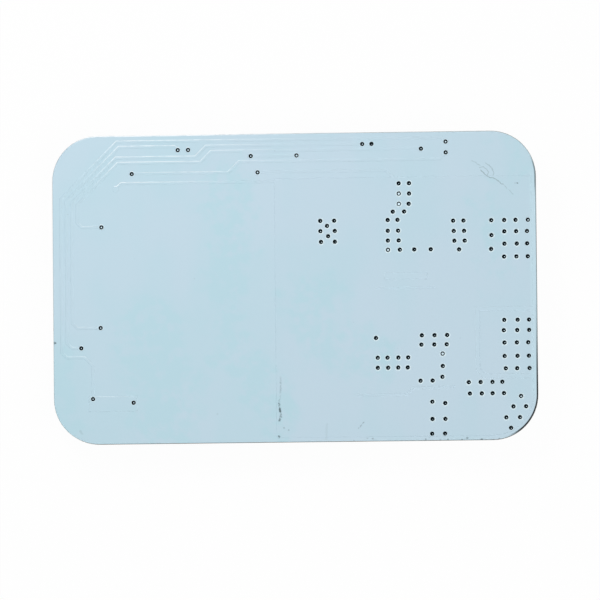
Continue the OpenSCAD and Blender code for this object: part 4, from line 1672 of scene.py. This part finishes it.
PARTS = (
    PartGroup("power_transistor_", EPOXY, 0.08),
    PartGroup("protection_ic", EPOXY, 0.05),
    PartGroup("protection_ic_leads", LEAD, 0.03),
    PartGroup("balance_transistor_", EPOXY, 0.04),
    PartGroup("balance_transistor_leads", LEAD, 0.03),
    PartGroup("balance_resistor_", GLAZE, 0.04),
    PartGroup("balance_resistor_caps", CAP, 0.06),
    PartGroup("small_resistors", GLAZE, 0.03),
    PartGroup("small_capacitors", CERAMIC, 0.04),
    PartGroup("small_chip_caps", CAP, 0.05),
    PartGroup("regulator", EPOXY, 0.05),
    PartGroup("regulator_leads", LEAD, 0.05),
    PartGroup("surge_diode", EPOXY, 0.06),
    PartGroup("surge_diode_leads", LEAD, 0.04),
    PartGroup("shunt_", ALLOY, 0.05),
    PartGroup("header_housing", NYLON, 0.1),
    PartGroup("header_pins", PIN, 0.04),
    PartGroup("header_hold_downs", LEAD, 0.06),
    PartGroup("solder_joints", SOLDER, 0.04),
    PartGroup("wire_pads", TINNING, 0.1),
    PartGroup("power_transistor_", LEAD, 0.05, "_leadframe"),
    PartGroup("shunt_", COAT, 0.05, "_coat"),
)


def dress_board() -> None:
    """Gives the layers of the board that stay as the frame has them their finishes."""
    dress("front_solder_mask", FRONT_INK)
    dress("front_copper", TINNED_FOIL)
    dress("back_copper", FOIL)
    dress("laminate", EDGE)


# ---------- studio ----------


@dataclass(frozen=True)
class Lamp:
    """A soft rectangular lamp that points at the board, in metres and watts."""

    name: str
    place: tuple[float, float, float]
    size: tuple[float, float]
    power: float

    def hang(self) -> None:
        """Puts the lamp in its place."""
        light = bpy.data.lights.new(self.name, "AREA")
        light.shape = "RECTANGLE"
        light.size, light.size_y = self.size
        light.energy = self.power
        lamp = bpy.data.objects.new(self.name, light)
        lamp.location = self.place
        lamp.rotation_euler = (-Vector(self.place)).to_track_quat("-Z", "Y").to_euler()
        lamp.visible_camera = False
        bpy.context.scene.collection.objects.link(lamp)


@dataclass
class Studio:
    """The table, the lamps and the camera. Lengths are in metres, and angles in degrees."""

    table_half: float = 30.0
    sky: float = 0.46
    lamps: tuple[Lamp, ...] = (
        Lamp("window", (-0.13, 0.17, 0.25), (0.16, 0.12), 0.395),
        Lamp("reflector", (0.2, -0.15, 0.45), (0.4, 0.4), 0.88),
    )
    distance: float = 1.6
    lens: float = 494.8
    lean_right: float = 3.0
    lean_near: float = 3.5
    roll: float = -0.55
    aim: tuple[float, float] = (1.02 * MM, -2.44 * MM)

    def build(self) -> None:
        """Sets everything up."""
        self.table()
        self.world()
        for lamp in self.lamps:
            lamp.hang()
        self.camera()
        bpy.context.scene.view_settings.view_transform = "Standard"

    def table(self) -> None:
        """Lays the floor under the board."""
        bm = bmesh.new()
        bmesh.ops.create_grid(bm, x_segments=1, y_segments=1, size=self.table_half)
        floor = placed("table_top", as_mesh("table_top", bm))
        floor.data.materials.append(TABLE_TOP.material())

    def world(self) -> None:
        """Lights the scene evenly, and shows white behind it."""
        world = bpy.data.worlds.new("studio")
        world.use_nodes = True
        bpy.context.scene.world = world
        graph = Graph(world.node_tree)
        graph.tree.nodes.clear()
        level = graph.seen() * (1 - self.sky) + self.sky
        light = graph.node("ShaderNodeBackground", inputs={"Color": WHITE, "Strength": level})
        sink = graph.tree.nodes.new("ShaderNodeOutputWorld")
        graph.tree.links.new(light.socket, sink.inputs["Surface"])

    def camera(self) -> None:
        """Looks down on the board from far above, a little from its near right corner."""
        sideways = math.sin(math.radians(self.lean_right))
        near = math.sin(math.radians(self.lean_near))
        back = Vector((sideways, -near, math.sqrt(1 - sideways**2 - near**2)))
        up = (Vector((0, 1, 0)) - back * back.y).normalized()
        roll = Matrix.Rotation(math.radians(self.roll), 3, "Z")
        turn = Matrix((up.cross(back), up, back)).transposed() @ roll
        aim = Vector((*self.aim, CAD_BOX[1].z))
        data = bpy.data.cameras.new("camera")
        data.lens = self.lens
        camera = bpy.data.objects.new("camera", data)
        camera.matrix_world = Matrix.Translation(aim + back * self.distance) @ turn.to_4x4()
        bpy.context.scene.collection.objects.link(camera)
        bpy.context.scene.camera = camera


def main() -> None:
    """Builds the board and its studio."""
    logging.basicConfig(level=logging.INFO, format="%(name)s: %(message)s")
    Studio().build()
    holes = PlatedHoles()
    InkSheet(holes.centres()).build()
    holes.build()
    for group in PARTS:
        group.build()
    dress_board()


if __name__ == "__main__":
    main()
